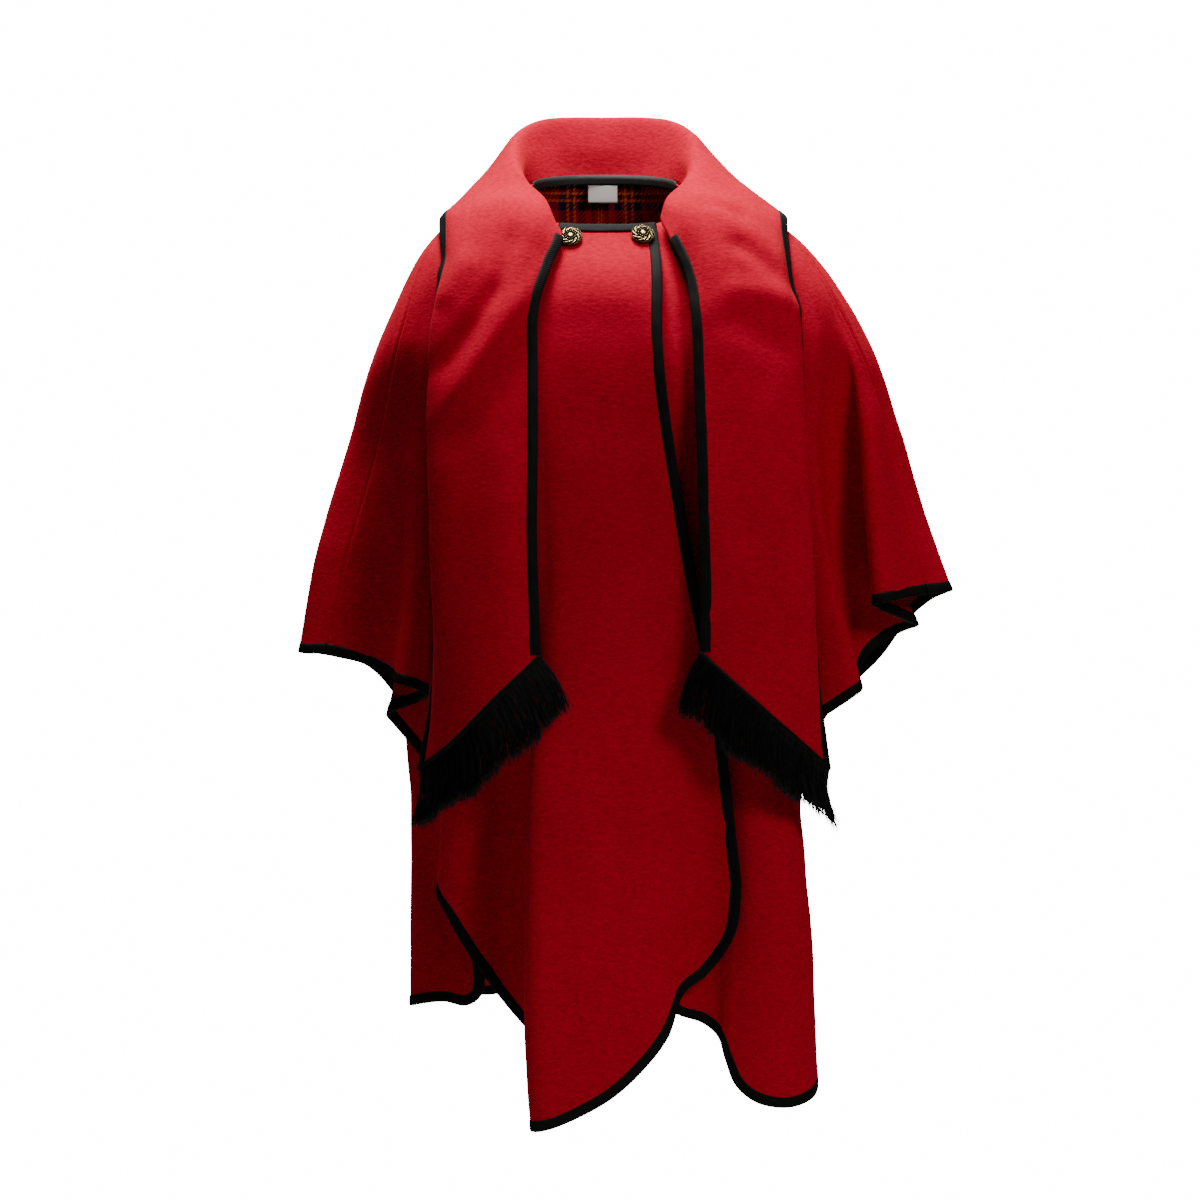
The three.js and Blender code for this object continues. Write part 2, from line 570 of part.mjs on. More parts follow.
// The grid of a front panel: its borders lie inside the bindings, and the moves fade inward.
function frontGrid(surface, us, vs, spec) {
  const ordered = spec.edge === 0 ? us : us.toReversed();
  const side = spec.edge === 0 ? 1 : -1;
  const gap = BINDING_WIDTH + SEAM_GAP;
  const step = 0.05 * side;
  const fade = (v) => Math.max(0, 1 - v / 0.24);
  const low = (v) => v ** 2;
  const down = (u) => {
    const share = spec.neckShare(u);
    if (share <= 0) return 0;
    const before = u === spec.edge ? null : { u: u - step, v: 0 };
    const into = inward(surface, before, { u, v: 0 }, { u: u + step, v: 0 });
    return slide(surface, { u, v: 0 }, into.multiplyScalar(-side), gap * share, "v");
  };
  const topEdge = down(spec.edge);
  const border = [
    ...vs.map((v) => ({ u: spec.edge, v: v + fade(v) * topEdge })),
    ...ordered.slice(1).map((u) => ({ u, v: 1 })),
  ];
  const moved = moves(surface, border, gap, side);
  const bottom = moved.slice(vs.length - 1);
  const edge = vs.map((v, j) => {
    const here = border[j];
    const into = inward(surface, border[j - 1], here, border[j + 1]).multiplyScalar(side);
    const level = slide(surface, here, into, gap, "u");
    const turned = smooth(0.2, 0.5, v);
    return { u: level + (moved[j].u - level) * turned, v: moved[j].v * turned };
  });
  const grid = ordered.map((u, i) => vs.map((v, j) => {
    const near = Math.max(0, 1 - Math.abs(u - spec.edge) / EDGE_REACH);
    const blend = (key) => near * (edge[j][key] - low(v) * edge.at(-1)[key]) + low(v) * bottom[i][key];
    const place = { u: u + blend("u"), v: v + blend("v") };
    const drop = u === spec.edge ? topEdge : down(place.u);
    return { u: place.u, v: place.v + fade(v) * drop };
  }));
  return spec.edge === 0 ? grid : grid.toReversed();
}

// Seam borders stop short, so that two panels stay apart by the seam gap.
function shortenSeams(surface, grid, atStart, atEnd) {
  const trim = (place, sign) => {
    const share = (SEAM_GAP / 2) / surface.alongU(place.u, place.v).length();
    return { u: place.u + sign * share, v: place.v };
  };
  const last = grid.length - 1;
  return grid.map((column, i) => {
    if (i === 0 && atStart) return column.map((place) => trim(place, 1));
    if (i === last && atEnd) return column.map((place) => trim(place, -1));
    return column;
  });
}

const cape = new THREE.Group();
cape.name = "wool_cape";

function addPiece(name, shape, colour, metalness = 0) {
  shape.computeVertexNormals();
  const material = new THREE.MeshStandardMaterial({ color: colour, roughness: 0.9, metalness });
  const mesh = new THREE.Mesh(shape, material);
  mesh.name = name;
  cape.add(mesh);
}

const NECK_BOUND = 13;
const neckShareRight = (u) => 1 - smooth(NECK_BOUND, NECK_BOUND + 2, u);
const neckShareLeft = (u) => 1 - smooth(NECK_BOUND - 2, NECK_BOUND, BODY_END - u);

const EDGE_ROWS = BODY_ROWS.slice(1, -1);

function rightPath() {
  const hem = stepsBetween(body, 0, RIGHT_SEAM, 1);
  hem[hem.length - 1] -= SEAM_SHARE;
  return [
    ...line(NECK_BOUND - 1, 0, 8, (u) => ({ u, v: 0 })),
    ...EDGE_ROWS.map((v) => ({ u: 0, v })),
    ...hem.map((u) => ({ u, v: 1 })),
  ];
}

function leftPath() {
  const hem = stepsBetween(body, LEFT_SEAM, BODY_END, 1);
  hem[0] += SEAM_SHARE;
  return [
    ...hem.map((u) => ({ u, v: 1 })),
    ...EDGE_ROWS.toReversed().map((v) => ({ u: BODY_END, v })),
    ...line(BODY_END, BODY_END - NECK_BOUND + 3, 8, (u) => ({ u, v: 0 })),
  ];
}

function backPath() {
  const hem = stepsBetween(body, RIGHT_SEAM, LEFT_SEAM, 1);
  hem[0] += SEAM_SHARE;
  hem[hem.length - 1] -= SEAM_SHARE;
  return hem.map((u) => ({ u, v: 1 }));
}

function addClothAndBinding(name, cloth, path) {
  const inner = inset(body, path, BINDING_WIDTH, 1);
  addPiece(name, cutClear(cloth, binding(body, path, inner, CLEAR_GAP)), COLOURS.cloth);
  addPiece(`${name}_binding`, binding(body, path, inner), COLOURS.binding);
}

function addFronts() {
  const rightUs = stepsBetween(body, 0, RIGHT_SEAM, 1);
  const right = frontGrid(body, rightUs, BODY_ROWS, { edge: 0, neckShare: neckShareRight });
  const rightCloth = wall(body, shortenSeams(body, right, false, true), WALL);
  addClothAndBinding("right_front", rightCloth, rightPath());
  const leftUs = stepsBetween(body, LEFT_SEAM, BODY_END, 1);
  const left = frontGrid(body, leftUs, BODY_ROWS, { edge: BODY_END, neckShare: neckShareLeft });
  const leftCloth = wall(body, shortenSeams(body, left, true, false), WALL);
  addClothAndBinding("left_front", leftCloth, leftPath());
}

function addBack() {
  const us = stepsBetween(body, RIGHT_SEAM, LEFT_SEAM, 1);
  const hem = inset(body, us.map((u) => ({ u, v: 1 })), BINDING_WIDTH + SEAM_GAP, 1);
  const grid = us.map((u, i) => BODY_ROWS.map((v) => ({
    u: u + (hem[i].u - u) * v ** 2,
    v: v + (hem[i].v - 1) * v ** 2,
  })));
  addClothAndBinding("back", wall(body, shortenSeams(body, grid, true, true), WALL), backPath());
}

const SCARF_END = scarfNet.length - 1;

// How far a place on a long edge of the scarf moves across it to lie a distance inside.
function narrow(u, v, distance) {
  const before = u === 0 ? null : { u: Math.max(u - 0.05, 0), v };
  const after = u === SCARF_END ? null : { u: Math.min(u + 0.05, SCARF_END), v };
  const into = inward(scarf, before, { u, v }, after).multiplyScalar(v === 1 ? 1 : -1);
  return slide(scarf, { u, v }, into, distance, "v");
}

function scarfGrid() {
  const us = line(0, SCARF_END, SCARF_END * 2, (u) => u);
  const vs = [0, 0.1, 0.19, 0.28, 0.36, 0.44, 0.53, 0.64, 0.76, 0.88, 1];
  const gap = BINDING_WIDTH + SEAM_GAP;
  const free = (u) => 1 - smooth(SCARF_FREE_RIGHT, SCARF_FREE_RIGHT + 1, u)
    + smooth(SCARF_FREE_LEFT - 1, SCARF_FREE_LEFT, u);
  return us.map((u) => {
    const low = free(u) > 0 ? narrow(u, 0, gap * free(u)) : 0;
    const high = 1 + narrow(u, 1, gap);
    return vs.map((v) => ({ u, v: low + (high - low) * v }));
  });
}

function scarfBinding(from, to, v, spare = 0) {
  const path = line(from, to, Math.abs(to - from) * 2, (u) => ({ u, v }));
  const inner = path.map((here) => ({ u: here.u, v: v + narrow(here.u, v, BINDING_WIDTH) }));
  return binding(scarf, path, inner, spare);
}

function addScarf() {
  const cloth = wall(scarf, scarfGrid(), WALL);
  const cut = cutClear(cloth, scarfBinding(0, SCARF_END, 1, CLEAR_GAP));
  addPiece("scarf_collar", cut, COLOURS.cloth);
  addPiece("scarf_outer_binding", scarfBinding(0, SCARF_END, 1), COLOURS.binding);
  addPiece("scarf_inner_binding_right", scarfBinding(SCARF_BOUND, 0, 0), COLOURS.binding);
  addPiece("scarf_inner_binding_left", scarfBinding(SCARF_END, SCARF_END - SCARF_BOUND, 0), COLOURS.binding);
}

// Outline of half a button, from the middle of the face to the middle of the back:
// share of the radius, and height.
const BUTTON_PROFILE = [
  [0, 6.4], [0.18, 5.6], [0.27, 4.0], [0.48, 4.6], [0.69, 3.4], [0.92, 3.0], [1, 1.4], [0.86, 0], [0, 0],
];

function addButton(name, u, v) {
  const outline = BUTTON_PROFILE.map(([r, h]) => new THREE.Vector2(r * BUTTON_RADIUS, h));
  const points = outline.toReversed();
  const turned = new THREE.LatheGeometry(points, 20);
  const place = body.at(u, v);
  const out = body.normal(u, v);
  const spin = new THREE.Quaternion().setFromUnitVectors(vec(0, 1, 0), out);
  turned.applyQuaternion(spin);
  const stand = (BINDING_THICK - WALL) / 2 + SEAM_GAP;
  turned.translate(...place.addScaledVector(out, stand).toArray());
  turned.deleteAttribute("uv");
  addPiece(name, turned, COLOURS.brass, 0.9);
}

// The tape covers the seam inside the back of the neck; the care label hangs under it.
function addNeckTape() {
  const degrees = line(-248, -112, 16, (deg) => deg);
  const sections = degrees.map((deg) => {
    const seam = ringPoint(NECK_RING, NECK_CENTRE_X, deg);
    const into = vec(NECK_CENTRE_X - seam.x, -seam.y, 0).normalize();
    const near = seam.clone().addScaledVector(into, WALL + SEAM_GAP);
    const far = near.clone().addScaledVector(into, TAPE_THICK);
    return [
      vec(near.x, near.y, seam.z + 3), vec(far.x, far.y, seam.z + 3),
      vec(far.x, far.y, seam.z + 3 - TAPE_HEIGHT), vec(near.x, near.y, seam.z + 3 - TAPE_HEIGHT),
    ];
  });
  addPiece("neck_tape", bar(sections, false), COLOURS.binding);
  const label = new THREE.BoxGeometry(LABEL_SIZE[0], LABEL_SIZE[2], LABEL_SIZE[1]);
  label.deleteAttribute("uv");
  const top = ringPoint(NECK_RING, NECK_CENTRE_X, 180);
  const middle = top.y - WALL - SEAM_GAP - TAPE_THICK / 2;
  label.translate(-10, middle, top.z + 2.6 - TAPE_HEIGHT - LABEL_SIZE[1] / 2);
  addPiece("care_label", label, COLOURS.label);
}

// A fringe: a narrow band below the end of the scarf, with strands grown out of its lower face.
function addFringe(name, end, lean) {
  const cells = STRANDS_PER_END * 2 + 1;
  const inwardSign = end === 0 ? 1 : -1;
  const places = line(0.012, 0.988, cells, (v) => ({ u: end, v }));
  const frames = places.map((place) => {
    const point = scarf.at(place.u, place.v);
    const out = scarf.normal(place.u, place.v);
    const edge = scarf.alongV(place.u, place.v).normalize();
    const down = new THREE.Vector3().crossVectors(out, edge).multiplyScalar(inwardSign).normalize();
    return { point, out, down };
  });
  const points = [];
  const faces = [];
  for (const { point, out, down } of frames) {
    for (const [below, lift] of BAND_SECTION) {
      const reach = SEAM_GAP + below * FRINGE_BAND;
      points.push(point.clone().addScaledVector(down, reach).addScaledVector(out, lift));
    }
  }
  const corner = (k, s) => k * 4 + s;
  const quad = (a, b, c, d) => {
    if (inwardSign > 0) faces.push([a, b, c], [a, c, d]);
    else faces.push([c, b, a], [d, c, a]);
  };
  quad(corner(0, 0), corner(0, 1), corner(0, 2), corner(0, 3));
  quad(corner(cells, 3), corner(cells, 2), corner(cells, 1), corner(cells, 0));
  for (let k = 0; k < cells; k += 1) {
    for (const s of [0, 2, 3]) {
      const next = (s + 1) % 4;
      quad(corner(k, s), corner(k + 1, s), corner(k + 1, next), corner(k, next));
    }
    const root = [corner(k, 1), corner(k + 1, 1), corner(k + 1, 2), corner(k, 2)];
    if (k % 2 === 0) {
      quad(...root);
    } else {
      growStrand(points, quad, root, frames[k], (k - 1) / (cells - 1), lean);
    }
  }
  addPiece(name, geometry(points, faces), COLOURS.binding);
}

function growStrand(points, quad, root, frame, share, lean) {
  const wave = Math.sin(share * 61) * 0.5 + Math.sin(share * 23.7) * 0.5;
  const sideways = THREE.MathUtils.lerp(lean[0], lean[1], share);
  const fall = vec(sideways, -0.05 + 0.03 * wave, -1).normalize();
  let ring = root;
  for (const [reach, size] of STRAND_RINGS) {
    const middle = root.reduce((sum, i) => sum.add(points[i]), vec(0, 0, 0)).divideScalar(4);
    const length = STRAND_LENGTH * reach * (1 + 0.05 * wave);
    const way = fall.clone().lerp(frame.down, 0.25 * (1 - reach)).normalize();
    const next = root.map((i) => {
      const off = points[i].clone().sub(middle).multiplyScalar(size);
      points.push(middle.clone().addScaledVector(way, length).add(off));
      return points.length - 1;
    });
    for (let s = 0; s < 4; s += 1) {
      const t = (s + 1) % 4;
      quad(ring[s], ring[t], next[t], next[s]);
    }
    ring = next;
  }
  quad(...ring);
}

addFronts();
addBack();
addScarf();
addFringe("fringe_right", 0, LEAN_RIGHT);
addFringe("fringe_left", SCARF_END, LEAN_LEFT);
addButton("button_right", BUTTON_RIGHT_U, BUTTON_V);
addButton("button_left", BUTTON_LEFT_U, BUTTON_V);
addNeckTape();

export default cape;
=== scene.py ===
"""Looks of the wool cape: napped red cloth with a tartan inside, bound edges, fringed scarf collar.

Sizes are in millimetres in the tables and turned to metres when a mesh is made. The front faces -Y,
the wearer's left is +X and +Z is up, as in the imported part.
"""

import logging
import math
from dataclasses import dataclass, field
from enum import Enum
from typing import NamedTuple, Sequence

import bpy
import numpy as np
from mathutils import Matrix, Vector


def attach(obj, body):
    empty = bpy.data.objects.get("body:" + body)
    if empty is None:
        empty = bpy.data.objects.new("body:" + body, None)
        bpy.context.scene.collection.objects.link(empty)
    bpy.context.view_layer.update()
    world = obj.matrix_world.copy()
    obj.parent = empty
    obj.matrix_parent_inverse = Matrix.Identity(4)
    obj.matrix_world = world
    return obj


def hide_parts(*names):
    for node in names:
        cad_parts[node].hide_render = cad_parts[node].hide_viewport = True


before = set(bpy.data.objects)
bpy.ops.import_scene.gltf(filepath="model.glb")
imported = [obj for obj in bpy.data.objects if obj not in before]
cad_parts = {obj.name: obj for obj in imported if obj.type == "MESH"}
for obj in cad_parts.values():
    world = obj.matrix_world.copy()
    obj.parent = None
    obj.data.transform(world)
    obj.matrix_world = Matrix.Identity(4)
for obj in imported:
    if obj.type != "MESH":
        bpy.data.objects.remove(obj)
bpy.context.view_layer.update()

log = logging.getLogger("wool_cape")

MM = 0.001
WALL = 2.8
BINDING_WIDTH = 10.5
NECK_CENTRE_X = -8.0
SHOULDER_CENTRE_X = 2.0
CHEST_CENTRE_X = 13.0
CHEST_Z = -150.0
WAIST_SHARE = 0.35
KNEE_SHARE = 0.7
# The top front stands this far over the one under it, and less between two angles on the shoulder.
TOP_FRONT_LIFT = 9.0
TOP_FRONT_FADE = (-88, -50)
# Degrees from the middle of the back to the seams over the arms, on each ring.
NECK_TO_SEAM = 85
SHOULDER_TO_SEAM = 99
CHEST_TO_RIGHT_SEAM = 111
CHEST_TO_LEFT_SEAM = 108
# Fold lines from the centre edge that the neck's binding covers on each front.
RIGHT_NECK_BOUND = 12.0
LEFT_NECK_BOUND = 10.0
# Sections of the scarf between which it is sewn to the neck.
SCARF_SEWN_RIGHT = 7.0
SCARF_SEWN_LEFT = 19.0
# Least distance between two fold lines that the curves through them reckon with.
CLOSEST_LINES = 0.05
# Steps in u and v over which a surface's direction is measured.
U_STEP = 0.02
V_STEP = 0.004
# Places for each row, and along a whole row, where a way over the cloth is measured.
DENSE_U = 24
DENSE_V = 400
# Where a tight fold squeezes a wall past the first share, it is made thinner, down to the second.
SQUEEZE_LIMIT = 0.55
THINNEST_SHARE = 0.15

Face = tuple[int, ...]
Material = bpy.types.Material
Node = bpy.types.Node
Socket = bpy.types.NodeSocket


class RingRow(NamedTuple):
    """A point of a half ring round the body, at an angle from the front."""

    deg: float
    x: float
    y: float
    z: float


class FoldRow(NamedTuple):
    """A fold line of a front, from the neck to the hem."""

    neck: float
    shoulder: float
    chest: float
    waist_x: float
    waist_y: float
    knee_x: float
    knee_y: float
    hem_x: float
    hem_y: float
    hem_z: float


class BackRow(NamedTuple):
    """A fold line of the back, from the chest to the hem."""

    chest: float
    waist_x: float
    waist_y: float
    knee_x: float
    knee_y: float
    hem_x: float
    hem_y: float
    hem_z: float


# Columns: degrees, x, y, z.
NECK_RING = [RingRow(*row) for row in (
    (0, 0, -74, -35),
    (25, 36, -72, -34),
    (48, 62, -62, -29),
    (70, 79, -36, -10),
    (92, 84, -2, 8),
    (118, 78, 30, 21),
    (148, 46, 58, 29),
    (180, 0, 67, 31),
)]
SHOULDER_RING = [RingRow(*row) for row in (
    (0, 0, -113, -92),
    (25, 76, -106, -86),
    (48, 136, -86, -68),
    (68, 172, -54, -48),
    (88, 186, -10, -33),
    (108, 178, 38, -34),
    (142, 112, 86, -46),
    (180, 0, 98, -54),
)]
CHEST_RING = [RingRow(*row) for row in (
    (0, 0, -131, -150),
    (30, 118, -121, -150),
    (48, 180, -94, -150),
    (62, 222, -64, -150),
    (75, 251, -34, -150),
    (90, 264, 4, -150),
    (108, 248, 52, -150),
    (132, 188, 88, -150),
    (156, 100, 108, -150),
    (180, 0, 113, -150),
)]
# One row for each fold line, from the centre edge to the seam over the arm. Columns as in FoldRow.
RIGHT_FRONT = [FoldRow(*row) for row in (
    (40, 16, 9.5, 77, -138, 114, -138, 134, -128, -730),
    (34, 13, 7, 68, -138, 104, -137, 129, -124, -778),
    (28, 9, 3, 50, -138, 84, -134, 101, -121, -824),
    (20, 5, 0, 34, -138, 62, -135, 76, -126, -843),
    (12, 0, -4, 16, -139, 38, -142, 56, -148, -890),
    (2, -6, -9, -10, -139, 0, -150, 10, -164, -940),
    (-8, -12, -14, -36, -138, -40, -154, -37, -169, -968),
    (-16, -18, -19, -60, -136, -74, -156, -69, -171, -980),
    (-19, -20.5, -20.5, -69, -132, -87, -147, -81, -160, -982),
    (-23, -23.5, -22.5, -77, -128, -82, -120, -66, -126, -966),
    (-27, -26.5, -25, -86, -124, -78, -96, -48, -86, -936),
    (-31, -29.5, -27, -93, -120, -86, -80, -54, -64, -914),
    (-35, -33, -29.5, -101, -116, -104, -74, -87, -58, -890),
    (-40, -38, -33, -117, -110, -138, -75, -138, -60, -832),
    (-45, -43, -36.5, -134, -104, -165, -73, -178, -53, -765),
    (-48, -45, -38, -142, -100, -176, -57, -188, -34, -745),
    (-51, -48, -40.5, -150, -96, -176, -29, -179, -6, -703),
    (-54, -51, -43, -159, -90, -177, -16, -180, 8, -642),
    (-57, -54, -45.5, -168, -83, -191, -8, -208, 13, -600),
    (-60, -57, -48, -178, -76, -208, -5, -236, 6, -565),
    (-62, -59, -49.5, -183, -73, -212, -16, -240, -8, -555),
    (-64, -61, -51, -187, -71, -201, -27, -221, -20, -546),
    (-66, -62.5, -52.5, -190, -69, -191, -35, -203, -27, -539),
    (-68, -64, -54, -194, -68, -189, -45, -197, -38, -534),
    (-70, -66, -55.5, -200, -68, -200, -55, -208, -50, -527),
    (-73, -68, -57, -208, -66, -213, -59, -223, -55, -522),
    (-76, -70, -58.5, -216, -59, -222, -50, -232, -45, -520),
    (-80, -72.5, -60.5, -223, -47, -228, -34, -238, -24, -514),
    (-85, -75, -63, -234, -34, -250, -22, -262, -10, -502),
    (-90, -78, -66, -243, -27, -270, -19, -288, -13, -494),
    (-95, -81, -69, -251, -21, -286, -18, -309, -16, -489),
)]
LEFT_FRONT = [FoldRow(*row) for row in (
    (-35, -14, -11, -32, -118, -26, -114, -20, -106, -742),
    (-30, -11, -8.5, -24, -118, -18, -114, -15, -105, -792),
    (-23, -6, -4, -10, -119, 0, -113, 8, -104, -828),
    (-15, 0, 0.5, 8, -119, 26, -112, 38, -102, -853),
    (-7, 6, 5, 28, -119, 54, -111, 71, -101, -869),
    (1, 11, 9, 46, -119, 76, -110, 94, -99, -877),
    (8, 16, 13, 62, -118, 95, -110, 110, -104, -890),
    (14, 20, 16.5, 76, -117, 108, -112, 118, -113, -914),
    (20, 25, 20.5, 92, -116, 122, -116, 129, -122, -940),
    (27, 31, 25, 112, -114, 144, -120, 151, -128, -957),
    (34, 37, 30, 134, -109, 172, -116, 184, -122, -963),
    (39, 41, 33.5, 150, -103, 194, -104, 208, -107, -957),
    (42, 43.5, 35.5, 160, -98, 204, -88, 217, -87, -947),
    (46, 46.5, 38.5, 168, -93, 205, -56, 214, -50, -914),
    (50, 49.5, 41.5, 175, -88, 199, -28, 207, -12, -850),
    (54, 52.5, 44.5, 181, -84, 195, -16, 200, -3, -768),
    (57, 55, 47, 187, -81, 193, -17, 198, -6, -694),
    (60, 57.5, 49, 193, -79, 196, -27, 200, -20, -624),
    (63, 60, 51, 200, -77, 207, -40, 212, -36, -568),
    (66, 62.5, 53, 209, -75, 223, -50, 238, -46, -548),
    (69, 65, 55, 218, -70, 237, -52, 259, -48, -534),
    (71, 67, 56.5, 223, -61, 243, -41, 268, -36, -527),
    (73, 68.5, 58, 226, -50, 243, -20, 265, -16, -517),
    (76, 70.5, 60, 234, -38, 252, -5, 275, 6, -494),
    (79, 72.5, 62, 246, -28, 269, 1, 299, 18, -474),
    (82, 74, 63.5, 258, -23, 284, 2, 320, 24, -464),
    (84, 75, 64.5, 267, -24, 292, -7, 330, 14, -460),
    (85, 75.8, 65.3, 268, -31, 287, -18, 319, 0, -455),
    (86.5, 76.5, 66, 266, -38, 278, -30, 300, -19, -447),
    (88, 77.2, 66.7, 266, -45, 273, -41, 284, -36, -440),
    (89, 77.8, 67.4, 269, -51, 275, -51, 279, -48, -437),
    (90.5, 78.6, 68.6, 276, -50, 285, -51, 291, -51, -434),
    (92.5, 79.6, 70.2, 285, -40, 301, -40, 315, -38, -429),
    (95, 81, 72, 293, -27, 315, -25, 339, -20, -425),
)]
# From the seam over the right arm round the back to the seam over the left arm. Columns as in BackRow.
BACK = [BackRow(*row) for row in (
    (-76, -269, -12, -305, -10, -328, -9, -489),
    (-83, -284, 2, -319, 0, -338, 0, -488),
    (-92, -287, 18, -321, 15, -338, 13, -487),
    (-101, -278, 34, -308, 31, -324, 28, -489),
    (-109, -263, 48, -288, 45, -299, 43, -494),
    (-116, -250, 60, -268, 60, -267, 56, -504),
    (-121, -240, 67, -255, 68, -240, 60, -532),
    (-124, -233, 71, -242, 73, -217, 59, -575),
    (-127, -228, 74, -230, 76, -204, 56, -620),
    (-129, -225, 78, -226, 79, -176, 46, -690),
    (-131, -222, 81, -223, 81, -154, 41, -780),
    (-133, -220, 84, -220, 81, -142, 39, -860),
    (-134.5, -218, 87, -220, 84, -158, 37, -873),
    (-136, -216, 90, -221, 88, -183, 38, -869),
    (-138, -213, 93, -222, 92, -207, 46, -872),
    (-140, -209, 96, -221, 96, -221, 62, -876),
    (-143, -203, 99, -218, 101, -218, 84, -875),
    (-146, -193, 102, -206, 108, -202, 104, -872),
    (-151, -170, 108, -176, 118, -172, 118, -869),
    (-156, -140, 112, -140, 130, -138, 138, -872),
    (-162, -101, 116, -98, 126, -97, 132, -866),
    (-168, -62, 119, -60, 138, -58, 152, -870),
    (-174, -23, 121, -21, 132, -20, 143, -866),
    (-180, 16, 122, 17, 135, 18, 149, -868),
    (-186, 50, 121, 50, 131, 50, 142, -866),
    (-192, 82, 119, 80, 138, 78, 153, -870),
    (-198, 116, 115, 112, 127, 108, 134, -866),
    (-204, 152, 110, 146, 128, 142, 136, -870),
    (-209, 184, 104, 174, 115, 168, 118, -868),
    (-214, 209, 98, 199, 104, 190, 104, -870),
    (-217, 220, 93, 206, 96, 202, 84, -872),
    (-220, 226, 89, 208, 91, 200, 64, -873),
    (-222, 230, 86, 208, 87, 186, 50, -870),
    (-224, 233, 83, 208, 82, 164, 42, -869),
    (-226, 236, 80, 210, 78, 150, 42, -830),
    (-229, 240, 77, 223, 79, 170, 47, -712),
    (-232, 245, 73, 236, 77, 204, 57, -624),
    (-235, 250, 70, 249, 74, 228, 61, -570),
    (-238, 256, 66, 264, 69, 258, 62, -530),
    (-242, 264, 60, 282, 61, 294, 60, -494),
    (-247, 276, 50, 300, 50, 325, 53, -452),
    (-254, 292, 36, 320, 36, 348, 36, -431),
    (-262, 306, 20, 335, 20, 364, 18, -423),
    (-270, 311, 4, 339, 4, 368, 3, -421),
    (-279, 305, -13, 330, -12, 357, -11, -423),
)]
# Sections of the scarf collar, x, y, z of the inner edge, rise, crest, fall and outer edge.
SCARF = (
    (-75, -165, -489, -107, -168, -519, -140, -158, -552, -172, -132, -584, -205, -94, -609),
    (-77, -164, -430, -110, -170, -450, -148, -160, -478, -182, -131, -506, -192, -100, -536),
    (-79, -163, -360, -112, -170, -374, -152, -161, -394, -188, -134, -414, -187, -104, -440),
    (-78, -160, -276, -113, -167, -284, -156, -159, -299, -192, -134, -316, -187, -106, -338),
    (-78, -153, -190, -113, -160, -193, -156, -152, -204, -194, -126, -219, -187, -106, -236),
    (-77, -145, -126, -108, -152, -118, -150, -141, -122, -190, -116, -139, -189, -100, -158),
    (-64, -126, -82, -92, -132, -62, -132, -124, -60, -174, -102, -78, -184, -92, -96),
    (-52, -104, -50, -70, -106, -24, -108, -98, -12, -156, -76, -28, -186, -70, -62),
    (-62, -80, -26, -68, -76, -8, -84, -64, 6, -140, -42, 0, -188, -30, -24),
    (-83, -42, -6, -86, -38, 12, -98, -28, 27, -146, 0, 16, -184, 20, -14),
    (-92.6, -2, 8.6, -96, 0, 34, -106, 8, 50, -146, 36, 26, -174, 64, -14),
    (-86.7, 30.4, 21.6, -92, 34, 56, -100, 42, 78, -128, 74, 38, -146, 102, -20),
    (-54.5, 58.7, 29.7, -66, 62, 66, -74, 70, 96, -84, 104, 50, -92, 126, -26),
    (-8, 67.7, 31.5, -8, 72, 68, -8, 84, 100, -8, 114, 54, -8, 134, -30),
    (38.5, 58.7, 29.7, 50, 62, 66, 58, 70, 96, 70, 104, 50, 80, 126, -26),
    (70.7, 30.4, 21.6, 76, 34, 56, 84, 42, 78, 116, 74, 38, 138, 102, -20),
    (76.6, -2, 8.6, 80, 0, 34, 90, 8, 50, 138, 36, 26, 172, 64, -14),
    (67, -42, -6, 70, -38, 12, 84, -28, 27, 140, 0, 16, 188, 20, -14),
    (50, -80, -26, 56, -76, -8, 74, -64, 6, 136, -42, 0, 190, -34, -28),
    (60, -104, -52, 76, -106, -26, 110, -98, -12, 160, -76, -30, 193, -74, -66),
    (76, -126, -90, 100, -132, -64, 138, -124, -60, 184, -104, -78, 197, -94, -102),
    (82, -144, -132, 114, -151, -122, 152, -142, -123, 195, -120, -138, 200, -98, -154),
    (85, -153, -195, 120, -160, -197, 158, -153, -204, 200, -130, -218, 203, -104, -234),
    (88, -160, -276, 124, -167, -284, 161, -159, -298, 204, -136, -314, 206, -105, -334),
    (90, -163, -350, 124, -170, -364, 162, -161, -384, 208, -136, -406, 212, -104, -434),
    (92, -164, -420, 125, -170, -440, 163, -161, -466, 209, -134, -494, 219, -102, -528),
    (91, -165, -486, 123, -168, -515, 159, -158, -547, 196, -130, -579, 230, -95, -609),
)


# Curved cloth from a net of points
def half_ring_point(ring: Sequence[RingRow], centre_x: float, degrees: float) -> np.ndarray:
    """Finds a point on a ring whose other half is the mirror image.

    Args:
        ring: Rows of the half ring, front to back.
        centre_x: Middle of the ring across the body.
        degrees: Angle from the front, positive to the wearer's left.

    Returns:
        The point in millimetres.
    """
    turned = (degrees + 540) % 360 - 180
    side = -1.0 if turned < 0 else 1.0
    rows = [ring[1]._replace(x=-ring[1].x, deg=-ring[1].deg), *ring]
    rows.append(ring[-2]._replace(x=-ring[-2].x, deg=360 - ring[-2].deg))
    points = np.array([[row.x, row.y, row.z] for row in rows], float)[None]
    knots = np.array([row.deg for row in rows], float)[None]
    found = hermite(points, knots, np.zeros(1, int), np.array([abs(turned)]))[0]
    return np.array([centre_x + side * found[0], found[1], found[2]])


